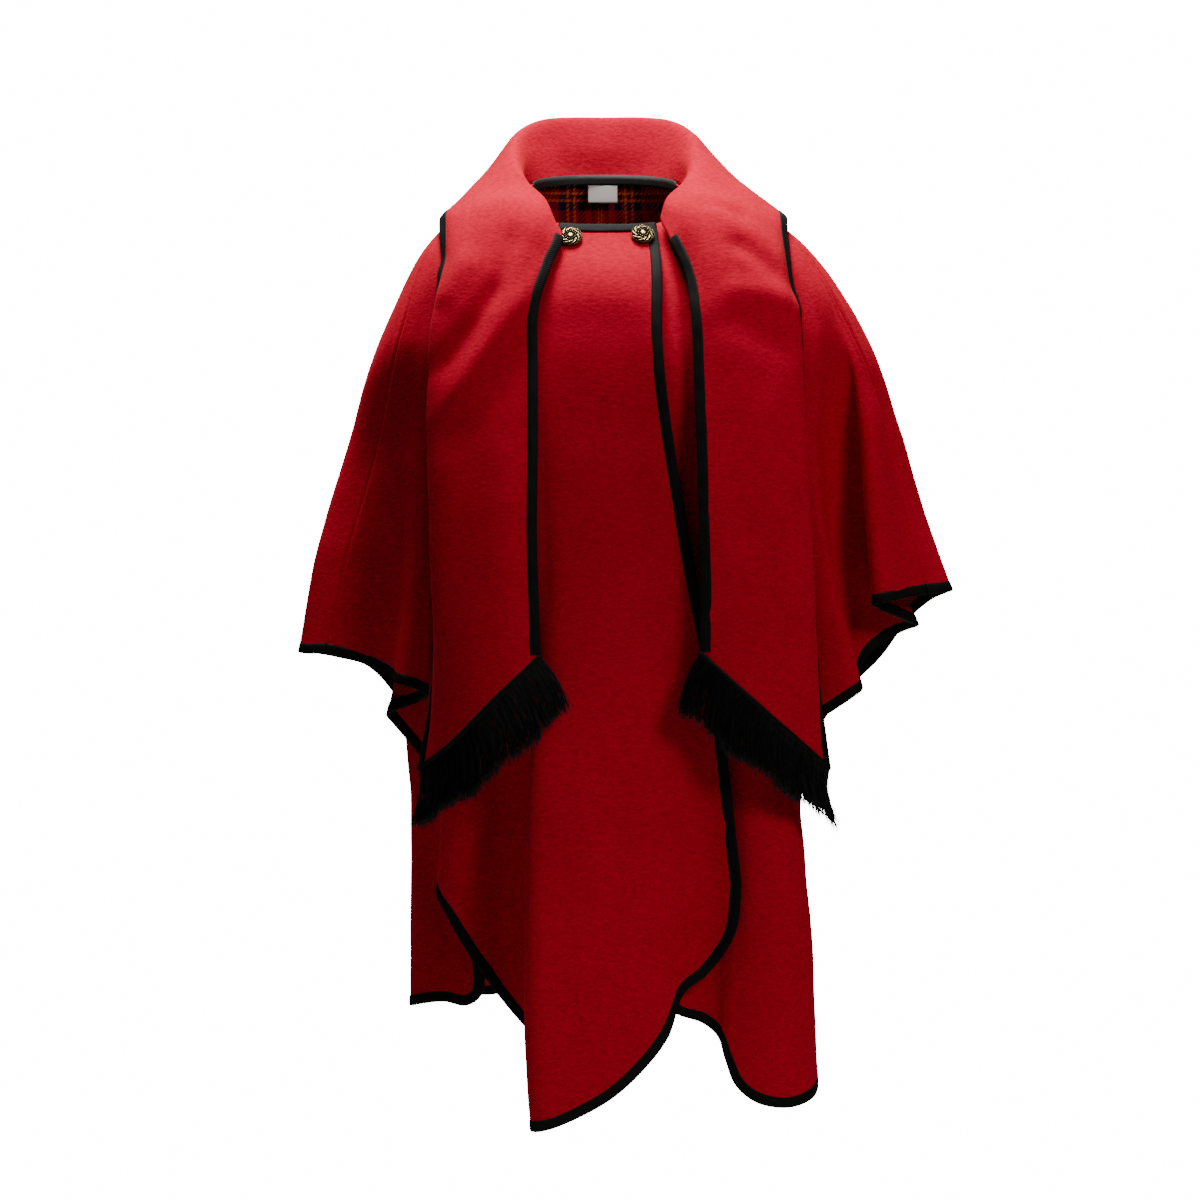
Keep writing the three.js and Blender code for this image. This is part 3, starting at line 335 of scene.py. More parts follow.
def hermite(points: np.ndarray, knots: np.ndarray, rows: np.ndarray, at: np.ndarray) -> np.ndarray:
    """Follows smooth curves through rows of points.

    Args:
        points: Net of rows by stations by xyz.
        knots: Knot of each station of each row.
        rows: Which row to follow, for each place asked.
        at: The knot value asked, for each place.

    Returns:
        One point for each place.
    """
    steps = np.diff(knots, axis=1)
    slopes = np.diff(points, axis=1) / steps[..., None]
    tangents = np.empty_like(points)
    tangents[:, 0] = slopes[:, 0]
    tangents[:, -1] = slopes[:, -1]
    before, after = steps[:, :-1, None], steps[:, 1:, None]
    tangents[:, 1:-1] = (slopes[:, :-1] * after + slopes[:, 1:] * before) / (before + after)
    last = knots.shape[1] - 2
    index = np.clip((knots[rows] < at[:, None]).sum(1) - 1, 0, last)
    h = steps[rows, index]
    t = (at - knots[rows, index]) / h
    t2, t3 = t * t, t * t * t
    part = lambda weight, value: weight[:, None] * value
    return (
        part(2 * t3 - 3 * t2 + 1, points[rows, index])
        + part((t3 - 2 * t2 + t) * h, tangents[rows, index])
        + part(3 * t2 - 2 * t3, points[rows, index + 1])
        + part((t3 - t2) * h, tangents[rows, index + 1])
    )


def smooth_step(low: float, high: float, at: np.ndarray | float) -> np.ndarray:
    """Rises softly from 0 at low to 1 at high."""
    t = np.clip((np.asarray(at, float) - low) / (high - low), 0, 1)
    return t * t * (3 - 2 * t)


def unit(vectors: np.ndarray) -> np.ndarray:
    """Makes each vector one unit long."""
    return vectors / np.maximum(np.linalg.norm(vectors, axis=-1, keepdims=True), 1e-9)


def run_length(points: np.ndarray) -> np.ndarray:
    """Measures the way from the start along the first axis of a row or a grid of points."""
    steps = np.linalg.norm(np.diff(points, axis=0), axis=-1)
    return np.concatenate([np.zeros_like(steps[:1]), np.cumsum(steps, axis=0)])


class ClothSurface:
    """A smooth surface through a net of points: u counts its rows and v goes from 0 to 1."""

    def __init__(self, net: np.ndarray) -> None:
        """Keeps the net and its knots.

        Args:
            net: Rows by stations by xyz, in millimetres.
        """
        self.net = net
        chords = np.linalg.norm(np.diff(net, axis=1), axis=2)
        knots = np.concatenate([np.zeros((len(net), 1)), np.cumsum(chords, axis=1)], axis=1)
        self.knots = knots / knots[:, -1:]
        self.last = len(net) - 1

    def at(self, u: np.ndarray, v: np.ndarray) -> np.ndarray:
        """Finds the points at places on the surface.

        Args:
            u: Row of each place.
            v: Share of the way along the row.

        Returns:
            One point for each place, in millimetres.
        """
        shape = np.broadcast(u, v).shape
        u = np.broadcast_to(u, shape).ravel().astype(float)
        v = np.broadcast_to(v, shape).ravel().astype(float)
        i = np.clip(np.floor(u).astype(int), 0, self.last - 1)
        p1 = hermite(self.net, self.knots, i, v)
        p2 = hermite(self.net, self.knots, i + 1, v)
        p0 = hermite(self.net, self.knots, np.maximum(i - 1, 0), v)
        p3 = hermite(self.net, self.knots, np.minimum(i + 2, self.last), v)
        p0 = np.where((i > 0)[:, None], p0, 2 * p1 - p2)
        p3 = np.where((i + 2 <= self.last)[:, None], p3, 2 * p2 - p1)
        gap = lambda a, b: np.sqrt(np.maximum(np.linalg.norm(a - b, axis=1), CLOSEST_LINES))
        k1 = gap(p0, p1)
        k2 = k1 + gap(p1, p2)
        k3 = k2 + gap(p2, p3)
        t = k1 + (u - i) * (k2 - k1)

        def mix(a: np.ndarray, b: np.ndarray, ta: np.ndarray, tb: np.ndarray) -> np.ndarray:
            """Blends two points between two knots."""
            share = ((t - ta) / (tb - ta))[:, None]
            return a * (1 - share) + b * share

        zero = np.zeros_like(t)
        a1, a2, a3 = mix(p0, p1, zero, k1), mix(p1, p2, k1, k2), mix(p2, p3, k2, k3)
        b1, b2 = mix(a1, a2, zero, k2), mix(a2, a3, k1, k3)
        return mix(b1, b2, k1, k2).reshape(*shape, 3)

    def along(self, u: np.ndarray, v: np.ndarray) -> tuple[np.ndarray, np.ndarray]:
        """Finds the surface's two directions at places.

        Args:
            u: Row of each place.
            v: Share of the way along the row.

        Returns:
            The change of the point with u and with v.
        """
        u0, u1 = np.clip(u - U_STEP, 0, self.last), np.clip(u + U_STEP, 0, self.last)
        v0, v1 = np.clip(v - V_STEP, 0, 1), np.clip(v + V_STEP, 0, 1)
        du = (self.at(u1, v) - self.at(u0, v)) / (u1 - u0)[..., None]
        dv = (self.at(u, v1) - self.at(u, v0)) / (v1 - v0)[..., None]
        return du, dv

    def normal(self, u: np.ndarray, v: np.ndarray) -> np.ndarray:
        """Finds the outward direction at places."""
        du, dv = self.along(u, v)
        return unit(np.cross(du, dv))

    def even_u(self, start: float, end: float, v: float, step: float) -> np.ndarray:
        """Spaces rows evenly along the surface.

        Args:
            start: First row.
            end: Last row.
            v: Share of the way where the spacing is even.
            step: Distance between rows in millimetres.

        Returns:
            The rows, with both ends.
        """
        dense = np.linspace(start, end, int(abs(end - start) * DENSE_U) + 2)
        run = run_length(self.at(dense, np.full_like(dense, v)))
        count = max(2, int(run[-1] / step) + 1)
        return np.interp(np.linspace(0, run[-1], count), run, dense)


def fold_line(row: FoldRow, lift: float) -> list[np.ndarray]:
    """Turns a row of a table into the six stations of a fold line.

    Args:
        row: The row.
        lift: How far the neck, shoulder and chest move forward.

    Returns:
        Six points in millimetres.
    """
    forward = np.array([0, -lift, 0])
    level = lambda share: CHEST_Z + share * (row.hem_z - CHEST_Z)
    return [
        half_ring_point(NECK_RING, NECK_CENTRE_X, row.neck) + forward,
        half_ring_point(SHOULDER_RING, SHOULDER_CENTRE_X, row.shoulder) + forward,
        half_ring_point(CHEST_RING, CHEST_CENTRE_X, row.chest) + forward,
        np.array([row.waist_x, row.waist_y, level(WAIST_SHARE)]),
        np.array([row.knee_x, row.knee_y, level(KNEE_SHARE)]),
        np.array([row.hem_x, row.hem_y, row.hem_z]),
    ]


def back_fold_line(row: BackRow) -> list[np.ndarray]:
    """Turns a row of the back's table into the six stations of a fold line."""
    turned = row.chest + 180
    full = CHEST_TO_RIGHT_SEAM if turned > 0 else CHEST_TO_LEFT_SEAM
    neck, shoulder = -180 + turned * NECK_TO_SEAM / full, -180 + turned * SHOULDER_TO_SEAM / full
    return fold_line(FoldRow(neck, shoulder, *row), 0)


def body_net() -> np.ndarray:
    """Joins the fold lines of the fronts and the back into one net round the body."""
    lifts = [TOP_FRONT_LIFT * float(smooth_step(*TOP_FRONT_FADE, row.shoulder)) for row in RIGHT_FRONT]
    lines = [fold_line(row, lift) for row, lift in zip(RIGHT_FRONT, lifts)]
    lines += [back_fold_line(row) for row in BACK]
    lines += [fold_line(row, 0) for row in reversed(LEFT_FRONT)]
    return np.array(lines)


RIGHT_SEAM = float(len(RIGHT_FRONT) - 1)
LEFT_SEAM = RIGHT_SEAM + len(BACK) + 1
BODY_END = LEFT_SEAM + len(LEFT_FRONT) - 1
SCARF_END = float(len(SCARF) - 1)


# Meshes
class Mesh(NamedTuple):
    """Points in millimetres with faces, the finish of each face and a place on the flat cloth."""

    points: np.ndarray
    faces: list[Face]
    slots: list[int]
    flat: np.ndarray


def add_object(name: str, mesh: Mesh, materials: Sequence[Material]) -> bpy.types.Object:
    """Makes a smooth Blender object of a mesh and lets it ride on the part's body.

    Args:
        name: Name of the piece.
        mesh: Points and faces in millimetres.
        materials: One material for each finish that the faces name.

    Returns:
        The object, in metres.
    """
    data = bpy.data.meshes.new(name)
    data.from_pydata((mesh.points * MM).tolist(), [], mesh.faces)
    data.polygons.foreach_set("material_index", np.array(mesh.slots, np.int32))
    data.polygons.foreach_set("use_smooth", np.ones(len(mesh.faces), bool))
    layer = data.uv_layers.new(name="flat_cloth")
    corners = np.empty(len(data.loops), np.int32)
    data.loops.foreach_get("vertex_index", corners)
    layer.data.foreach_set("uv", (mesh.flat[corners] * MM).astype(np.float32).ravel())
    for material in materials:
        data.materials.append(material)
    data.update()
    piece = bpy.data.objects.new(name, data)
    bpy.context.scene.collection.objects.link(piece)
    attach(piece, "root")
    return piece


def grid_faces(columns: int, rows: int, first: int, flip: bool) -> list[Face]:
    """Lists the quads of a grid of points.

    Args:
        columns: Points along u.
        rows: Points along v.
        first: Index of the first point.
        flip: Whether the faces turn the other way.

    Returns:
        The quads.
    """
    i, j = np.meshgrid(np.arange(columns - 1), np.arange(rows - 1), indexing="ij")
    a = (first + i * rows + j).ravel()
    quads = np.stack([a, a + rows, a + rows + 1, a + 1], axis=1)
    return [tuple(q) for q in (quads[:, ::-1] if flip else quads).tolist()]


def shell(outer: np.ndarray, inner: np.ndarray, flat: np.ndarray) -> Mesh:
    """Closes an outer and an inner grid of points into a thin wall.

    Args:
        outer: Columns by rows by xyz of the outer face.
        inner: The same of the inner face.
        flat: Place of each point on the flat cloth.

    Returns:
        The wall, with finish 0 outside and 1 inside.
    """
    columns, rows = outer.shape[:2]
    count = columns * rows
    faces = grid_faces(columns, rows, 0, False)
    slots = [0] * len(faces)
    inside = grid_faces(columns, rows, count, True)
    faces += inside
    slots += [1] * len(inside)
    ring = [i * rows for i in range(columns)] + [(columns - 1) * rows + j for j in range(1, rows)]
    ring += [i * rows + rows - 1 for i in range(columns - 2, -1, -1)] + list(range(rows - 2, 0, -1))
    for a, b in zip(ring, ring[1:] + ring[:1]):
        faces.append((b, a, a + count, b + count))
        slots.append(0)
    points = np.concatenate([outer.reshape(-1, 3), inner.reshape(-1, 3)])
    return Mesh(points, faces, slots, np.concatenate([flat.reshape(-1, 2)] * 2))


def tube(sections: np.ndarray, flat: np.ndarray, flip: bool = False) -> Mesh:
    """Closes a run of sections into a bar with flat ends.

    Args:
        sections: Sections by points round by xyz.
        flat: Place of each point on the flat cloth.
        flip: Whether the faces turn the other way.

    Returns:
        The bar.
    """
    count, around = sections.shape[:2]
    k, s = np.meshgrid(np.arange(count - 1), np.arange(around), indexing="ij")
    a, b = (k * around + s).ravel(), (k * around + (s + 1) % around).ravel()
    quads = np.stack([a, a + around, b + around, b], axis=1)
    faces = [tuple(q) for q in (quads[:, ::-1] if flip else quads).tolist()]
    end = (count - 1) * around
    first, last = tuple(range(around)), tuple(range(end + around - 1, end - 1, -1))
    faces += [first[::-1], last[::-1]] if flip else [first, last]
    return Mesh(sections.reshape(-1, 3), faces, [0] * len(faces), flat.reshape(-1, 2))


def joined(meshes: Sequence[Mesh]) -> Mesh:
    """Joins meshes into one."""
    points, faces, slots, flat, start = [], [], [], [], 0
    for mesh in meshes:
        points.append(mesh.points)
        flat.append(mesh.flat)
        faces += [tuple(i + start for i in face) for face in mesh.faces]
        slots += mesh.slots
        start += len(mesh.points)
    return Mesh(np.concatenate(points), faces, slots, np.concatenate(flat))


def ripple(points: np.ndarray, size: float, seed: float) -> np.ndarray:
    """Gives a soft uneven value from -1 to 1 that changes over a distance.

    Args:
        points: Places in millimetres.
        size: Distance over which the value changes.
        seed: Shift of the pattern.

    Returns:
        One value for each place.
    """
    p = points / size
    wave = np.sin(p[..., 0] * 1.9 + seed) * np.cos(p[..., 2] * 1.3 - seed * 0.7)
    wave = wave + np.sin(p[..., 2] * 2.7 + p[..., 1] * 1.7 + seed * 2.1) * 0.6
    wave = wave + np.cos(p[..., 0] * 3.1 - p[..., 2] * 2.3 + seed * 1.3) * 0.4
    return wave / 2.0


@dataclass(frozen=True)
class Crease:
    """A soft ridge (depth above 0) or trough (below 0) on the front or the back of the cape.

    Its ends are given in x and z, as seen from the front.
    """

    x1: float
    z1: float
    x2: float
    z2: float
    width: float
    depth: float
    bend: float = 0.0
    behind: bool = False

    def lift(self, points: np.ndarray) -> np.ndarray:
        """Works out how far the crease lifts each place, in millimetres."""
        a, b = np.array([self.x1, self.z1]), np.array([self.x2, self.z2])
        way = b - a
        length = float(np.hypot(*way))
        way = way / length
        off = points[..., [0, 2]] - a
        run = (off @ way) / length
        side = off @ np.array([-way[1], way[0]]) - self.bend * 4 * run * (1 - run)
        ends = smooth_step(-0.25, 0.2, run) * (1 - smooth_step(0.8, 1.25, run))
        rear = smooth_step(0.0, 45.0, points[..., 1])
        face = rear if self.behind else 1 - rear
        return self.depth * ends * face * np.exp(-((side / self.width) ** 2))


def soften(
    points: np.ndarray, normals: np.ndarray, creases: Sequence[Crease], weight: np.ndarray,
) -> np.ndarray:
    """Moves cloth out or in along its creases.

    Args:
        points: Places in millimetres.
        normals: Outward direction at each place.
        creases: The creases.
        weight: Share of the move for each place.

    Returns:
        The moved places.
    """
    total = sum(crease.lift(points) for crease in creases)
    return points + normals * (total * weight)[..., None]


def wall_in(outer: np.ndarray, normals: np.ndarray) -> np.ndarray:
    """Places the inner side of a wall, closer where a tight fold would make it cross itself.

    Args:
        outer: Net of outer points in millimetres.
        normals: Outward direction at each point.

    Returns:
        The net of inner points.
    """
    share = np.ones(outer.shape[:2])
    for axis in (0, 1):
        step, turn = np.gradient(outer, axis=axis), np.gradient(normals, axis=axis)
        squeeze = WALL * (step * turn).sum(axis=2) / np.maximum((step * step).sum(axis=2), 1e-6)
        share = np.minimum(share, SQUEEZE_LIMIT / np.maximum(squeeze, SQUEEZE_LIMIT))
    wide = np.pad(share, 2, mode="edge")
    rows, columns = share.shape
    near = [wide[i : i + rows, j : j + columns] for i in range(5) for j in range(5)]
    share = (np.min(near, axis=0) + np.mean(near, axis=0)) / 2
    return outer - normals * (WALL * np.clip(share, THINNEST_SHARE, 1))[..., None]


# Finishes
# Radians that Blender's wave texture turns through for each unit of its scale, level and slanting.
WAVE_TURN = 20.0
WAVE_TURN_SLANTING = 10.0 * math.sqrt(2)


def linear(code: str) -> tuple[float, float, float, float]:
    """Turns an sRGB hex colour into a linear one.

    Args:
        code: Six hex digits after a hash.

    Returns:
        Red, green, blue and 1.
    """
    parts = [int(code[i : i + 2], 16) / 255 for i in (1, 3, 5)]
    r, g, b = (c / 12.92 if c <= 0.04045 else ((c + 0.055) / 1.055) ** 2.4 for c in parts)
    return (r, g, b, 1.0)


def per_metre(size_mm: float) -> float:
    """Finds the scale of a pattern whose features are about this size."""
    return 1000 / size_mm


def wave_scale(pitch_mm: float, turn: float) -> float:
    """Finds the scale of a wave texture whose bands lie one pitch apart."""
    return 2 * math.pi / (turn * pitch_mm * MM)


def set_inputs(node: Node, inputs: dict[str | int, object]) -> None:
    """Sets values on a node's own inputs, and links the sockets that are among them.

    Args:
        node: The node.
        inputs: Values or sockets, by input name or number.
    """
    for key, value in inputs.items():
        if isinstance(value, Socket):
            node.id_data.links.new(value, node.inputs[key])
        else:
            node.inputs[key].default_value = value


def add_node(
    material: Material, kind: str, inputs: dict[str | int, object] | None = None, **settings: object,
) -> Node:
    """Adds a node with its settings and links.

    Args:
        material: Material whose tree gets the node.
        kind: Blender's name of the node type.
        inputs: Values or sockets to link, by input name or number.
        settings: Properties of the node.

    Returns:
        The node.
    """
    made = material.node_tree.nodes.new(kind)
    for key, value in settings.items():
        setattr(made, key, value)
    set_inputs(made, inputs or {})
    return made


def set_stops(chart: Node, *stops: tuple[float, str]) -> None:
    """Sets the stops of a colour ramp, its two ends first.

    Args:
        chart: The ramp's node.
        stops: Place and hex colour of each stop.
    """
    elements = chart.color_ramp.elements
    for k, (place, colour) in enumerate(stops):
        stop = elements[k] if k < 2 else elements.new(place)
        stop.position = place
        stop.color = linear(colour)


def new_material(name: str) -> tuple[Material, Node]:
    """Starts a node material.

    Args:
        name: Name of the material.

    Returns:
        The material and its surface shader.
    """
    material = bpy.data.materials.new(name)
    material.use_nodes = True
    return material, material.node_tree.nodes["Principled BSDF"]


class Nap(Enum):
    """How a wool face was made: the strength of its relief, and of the soft glow of its fibre tips."""

    BRUSHED = (0.5, 0.16)
    WOVEN = (0.45, 0.15)


class NapLayer(NamedTuple):
    """A layer of unevenness in the tone and the relief of the nap."""

    size_mm: float
    detail: float
    roughness: float
    share: float
    is_brushed: bool


@dataclass(frozen=True)
class NappedWool:
    """Milled and brushed woollen cloth: a short dense nap that hides the weave."""

    name: str = "milled_brushed_wool"
    face: str = "#CC0A32"
    shade: str = "#B00727"
    tip: str = "#F2463C"
    nap: Nap = Nap.BRUSHED
    # Tufts and fibres are finer in real wool, and are drawn this coarse so that they show. The last
    # layer is the slow change of tone across the cloth.
    layers: tuple[NapLayer, ...] = (
        NapLayer(2.9, 2.0, 0.5, 0.55, True),
        NapLayer(1.3, 2.0, 0.7, 0.3, True),
        NapLayer(70.0, 3.0, 0.55, 0.15, False),
    )
    shade_at: float = 0.36
    face_at: float = 0.64
    relief_mm: float = 1.2

    def build(self) -> Material:
        """Builds the material.

        Returns:
            A matt, softly glowing wool whose tufts lie in short level strokes.
        """
        material, shader = new_material(self.name)
        place = add_node(material, "ShaderNodeTexCoord").outputs["Object"]
        # The nap is brushed sideways, so that tufts read about twice as long as they are high.
        brushed = add_node(material, "ShaderNodeMapping", {"Vector": place, "Scale": (0.5, 0.5, 1.0)})
        blend: float | Socket = 0.0
        for layer in self.layers:
            noise = add_node(material, "ShaderNodeTexNoise", {
                "Vector": brushed.outputs["Vector"] if layer.is_brushed else place,
                "Scale": per_metre(layer.size_mm), "Detail": layer.detail, "Roughness": layer.roughness,
            })
            parts = {0: noise.outputs["Fac"], 1: layer.share, 2: blend}
            blend = add_node(material, "ShaderNodeMath", parts, operation="MULTIPLY_ADD").outputs[0]
        tone = add_node(material, "ShaderNodeValToRGB", {"Fac": blend})
        set_stops(tone, (self.shade_at, self.shade), (self.face_at, self.face))
        strength, glow = self.nap.value
        bump = add_node(
            material, "ShaderNodeBump",
            {"Height": blend, "Strength": strength, "Distance": self.relief_mm * MM},
        )
        set_inputs(shader, {
            "Base Color": tone.outputs["Color"], "Normal": bump.outputs["Normal"], "Roughness": 0.95,
            "IOR": 1.54, "Specular IOR Level": 0.05, "Sheen Weight": glow, "Sheen Roughness": 0.5,
            "Sheen Tint": linear(self.tip),
        })
        return material


@dataclass(frozen=True)
class Stripe:
    """A stripe of the tartan, from its distance to the middle of the repeat up to the next stripe."""

    start_mm: float
    colour: str


@dataclass(frozen=True)
class TartanWool:
    """The woven inner face: a red twill tartan with dark, navy and gold lines."""

    name: str = "twill_tartan_wool"
    nap: Nap = Nap.WOVEN
    half_repeat_mm: float = 104.0
    twill_mm: float = 2.4
    weft_shift_mm: float = 44.0
    fuzz_mm: float = 1.4286
    relief_mm: float = 0.6
    glow: str = "#C86A60"
    stripes: tuple[Stripe, ...] = (
        Stripe(0.0, "#9A0A10"), Stripe(1.0, "#B8860F"), Stripe(2.0, "#9A0A10"), Stripe(5.5, "#0E0A0A"),
        Stripe(9.0, "#A50B12"), Stripe(16.0, "#0F0B0C"), Stripe(24.0, "#A00A10"), Stripe(27.0, "#E8641C"),
        Stripe(29.5, "#5A0A10"), Stripe(34.5, "#E0561A"), Stripe(37.0, "#1A1038"), Stripe(46.0, "#B80B14"),
        Stripe(92.0, "#140C10"), Stripe(95.0, "#A80B13"), Stripe(101.0, "#10301C"),
    )

    def threads(self, material: Material, along: Socket) -> Socket:
        """Finds the colour of the threads at a distance across them.

        Args:
            material: Material to build in.
            along: Distance across the threads in metres.

        Returns:
            The colour.
        """
        half = self.half_repeat_mm * MM
        fold = add_node(material, "ShaderNodeMath", {0: along, 1: half}, operation="PINGPONG")
        share = add_node(material, "ShaderNodeMath", {0: fold.outputs[0], 1: half}, operation="DIVIDE")
        chart = add_node(material, "ShaderNodeValToRGB", {"Fac": share.outputs[0]})
        ramp = chart.color_ramp
        ramp.interpolation = "CONSTANT"
        ramp.elements[0].color = linear(self.stripes[0].colour)
        for stripe in self.stripes[1:]:
            ramp.elements.new(stripe.start_mm / self.half_repeat_mm).color = linear(stripe.colour)
        ramp.elements.remove(ramp.elements[-1])
        return chart.outputs["Color"]

    def build(self) -> Material:
        """Builds the material.

        Returns:
            A flat woven cloth whose warp and weft lines cross in a fine twill.
        """
        material, shader = new_material(self.name)
        place = add_node(material, "ShaderNodeUVMap", uv_map="flat_cloth").outputs["UV"]
        split = add_node(material, "ShaderNodeSeparateXYZ", {"Vector": place})
        x = split.outputs["X"]
        shifted = {0: split.outputs["Y"], 1: self.weft_shift_mm * MM}
        y = add_node(material, "ShaderNodeMath", shifted, operation="ADD").outputs[0]
        slant = add_node(material, "ShaderNodeMath", {0: x, 1: y}, operation="ADD").outputs[0]
        # Real twill ribs are under 1 mm apart. These are drawn 3.4 mm apart, so that they still show.
        twill = self.twill_mm * MM
        rib = add_node(material, "ShaderNodeMath", {0: slant, 1: twill}, operation="PINGPONG").outputs[0]
        rib = add_node(material, "ShaderNodeMath", {0: rib, 1: twill}, operation="DIVIDE").outputs[0]
        # The weft covers the warp by a share that steps up and down with the ribs.
        over = add_node(
            material, "ShaderNodeMapRange",
            {"Value": rib, "From Min": 0.38, "From Max": 0.62, "To Min": 0.12, "To Max": 0.88},
        )
        warp, weft = self.threads(material, x), self.threads(material, y)
        cloth = add_node(
            material, "ShaderNodeMixRGB", {"Fac": over.outputs[0], "Color1": warp, "Color2": weft},
        )
        fuzz = add_node(
            material, "ShaderNodeTexNoise",
            {"Vector": place, "Scale": per_metre(self.fuzz_mm), "Detail": 3.0, "Roughness": 0.6},
        )
        parts = {0: fuzz.outputs["Fac"], 1: 0.6, 2: rib}
        height = add_node(material, "ShaderNodeMath", parts, operation="MULTIPLY_ADD")
        strength, glow = self.nap.value
        bump = add_node(
            material, "ShaderNodeBump",
            {"Height": height.outputs[0], "Strength": strength, "Distance": self.relief_mm * MM},
        )
        set_inputs(shader, {
            "Base Color": cloth.outputs["Color"], "Normal": bump.outputs["Normal"], "Roughness": 0.92,
            "IOR": 1.54, "Specular IOR Level": 0.15, "Sheen Weight": glow, "Sheen Roughness": 0.5,
            "Sheen Tint": linear(self.glow),
        })
        return material


@dataclass(frozen=True)
class FoldedBraid:
    """Black foldover braid: a flat ribbed tape, soft with a slight gloss on its bend."""

    name: str = "black_foldover_braid"
    colour: str = "#070706"
    worn: str = "#0E0E0D"
    glow: str = "#8C8A86"
    rib_mm: float = 2.1326
    fuzz_mm: float = 1.1111
    relief_mm: float = 0.4

    def build(self) -> Material:
        """Builds the material.

        Returns:
            A dark tape with fine slanting ribs and slightly greyer wear.
        """
        material, shader = new_material(self.name)
        flat = add_node(material, "ShaderNodeUVMap", uv_map="flat_cloth").outputs["UV"]
        place = add_node(material, "ShaderNodeTexCoord").outputs["Object"]
        # Real ribs are about 0.7 mm apart. These are drawn about 2.1 mm apart, so that they show.
        scale = wave_scale(self.rib_mm, WAVE_TURN_SLANTING)
        ribs = add_node(
            material, "ShaderNodeTexWave",
            {"Vector": flat, "Scale": scale, "Distortion": 0.6, "Detail": 1.0},
            wave_type="BANDS", bands_direction="DIAGONAL",
        )
        fuzz = add_node(
            material, "ShaderNodeTexNoise",
            {"Vector": place, "Scale": per_metre(self.fuzz_mm), "Detail": 2.0},
        )
        parts = {0: fuzz.outputs["Fac"], 1: 0.5, 2: ribs.outputs["Fac"]}
        height = add_node(material, "ShaderNodeMath", parts, operation="MULTIPLY_ADD")
        tone = add_node(material, "ShaderNodeValToRGB", {"Fac": fuzz.outputs["Fac"]})
        set_stops(tone, (0.35, self.colour), (0.75, self.worn))
        bump = add_node(
            material, "ShaderNodeBump",
            {"Height": height.outputs[0], "Strength": 0.35, "Distance": self.relief_mm * MM},
        )
        set_inputs(shader, {
            "Base Color": tone.outputs["Color"], "Normal": bump.outputs["Normal"], "Roughness": 0.7,
            "IOR": 1.53, "Specular IOR Level": 0.13, "Sheen Weight": 0.01, "Sheen Roughness": 0.4,
            "Sheen Tint": linear(self.glow),
        })
        return material


@dataclass(frozen=True)
class SilkyThread:
    """Twisted rayon fringe threads: deep black with a narrow gloss along each thread."""

    name: str = "black_rayon_thread"
    colour: str = "#060505"
    tip: str = "#0E0D0C"
    grain_mm: float = 2.2222

    def build(self) -> Material:
        """Builds the material.

        Returns:
            A glossy black thread.
        """
        material, shader = new_material(self.name)
        place = add_node(material, "ShaderNodeTexCoord").outputs["Object"]
        # The grain is drawn out along the hanging threads.
        streaks = add_node(material, "ShaderNodeMapping", {"Vector": place, "Scale": (1.0, 1.0, 0.12)})
        grain = add_node(
            material, "ShaderNodeTexNoise",
            {"Vector": streaks.outputs["Vector"], "Scale": per_metre(self.grain_mm), "Detail": 2.0},
        )
        tone = add_node(material, "ShaderNodeValToRGB", {"Fac": grain.outputs["Fac"]})
        set_stops(tone, (0.4, self.colour), (0.7, self.tip))
        set_inputs(shader, {
            "Base Color": tone.outputs["Color"], "Roughness": 0.45, "IOR": 1.53, "Specular IOR Level": 0.28,
        })
        return material


@dataclass(frozen=True)
class AntiqueBrass:
    """Cast brass with a dark patina left in its hollows and polished high spots."""

    name: str = "antiqued_cast_brass"
    bright: str = "#D6C28A"
    dull: str = "#6A5730"
    patina: str = "#0B0907"
    spot_mm: float = 1.1111

    def build(self) -> Material:
        """Builds the material.

        Returns:
            A warm metal, bright on the relief and nearly black in the recesses.
        """
        material, shader = new_material(self.name)
        relief = add_node(material, "ShaderNodeAttribute", attribute_name="relief").outputs["Fac"]
        place = add_node(material, "ShaderNodeTexCoord").outputs["Object"]
        spots = add_node(
            material, "ShaderNodeTexNoise",
            {"Vector": place, "Scale": per_metre(self.spot_mm), "Detail": 3.0},
        )
        parts = {0: spots.outputs["Fac"], 1: 0.35, 2: relief}
        worn = add_node(material, "ShaderNodeMath", parts, operation="MULTIPLY_ADD").outputs[0]
        tone = add_node(material, "ShaderNodeValToRGB", {"Fac": worn})
        set_stops(tone, (0.42, self.patina), (0.95, self.bright), (0.66, self.dull))
        # Worn high spots are smoother than the patina.
        rough = add_node(
            material, "ShaderNodeMapRange",
            {"Value": worn, "From Min": 0.4, "From Max": 1.0, "To Min": 0.75, "To Max": 0.3},
        )
        set_inputs(shader, {
            "Base Color": tone.outputs["Color"], "Roughness": rough.outputs[0], "Metallic": 0.9,
        })
        return material


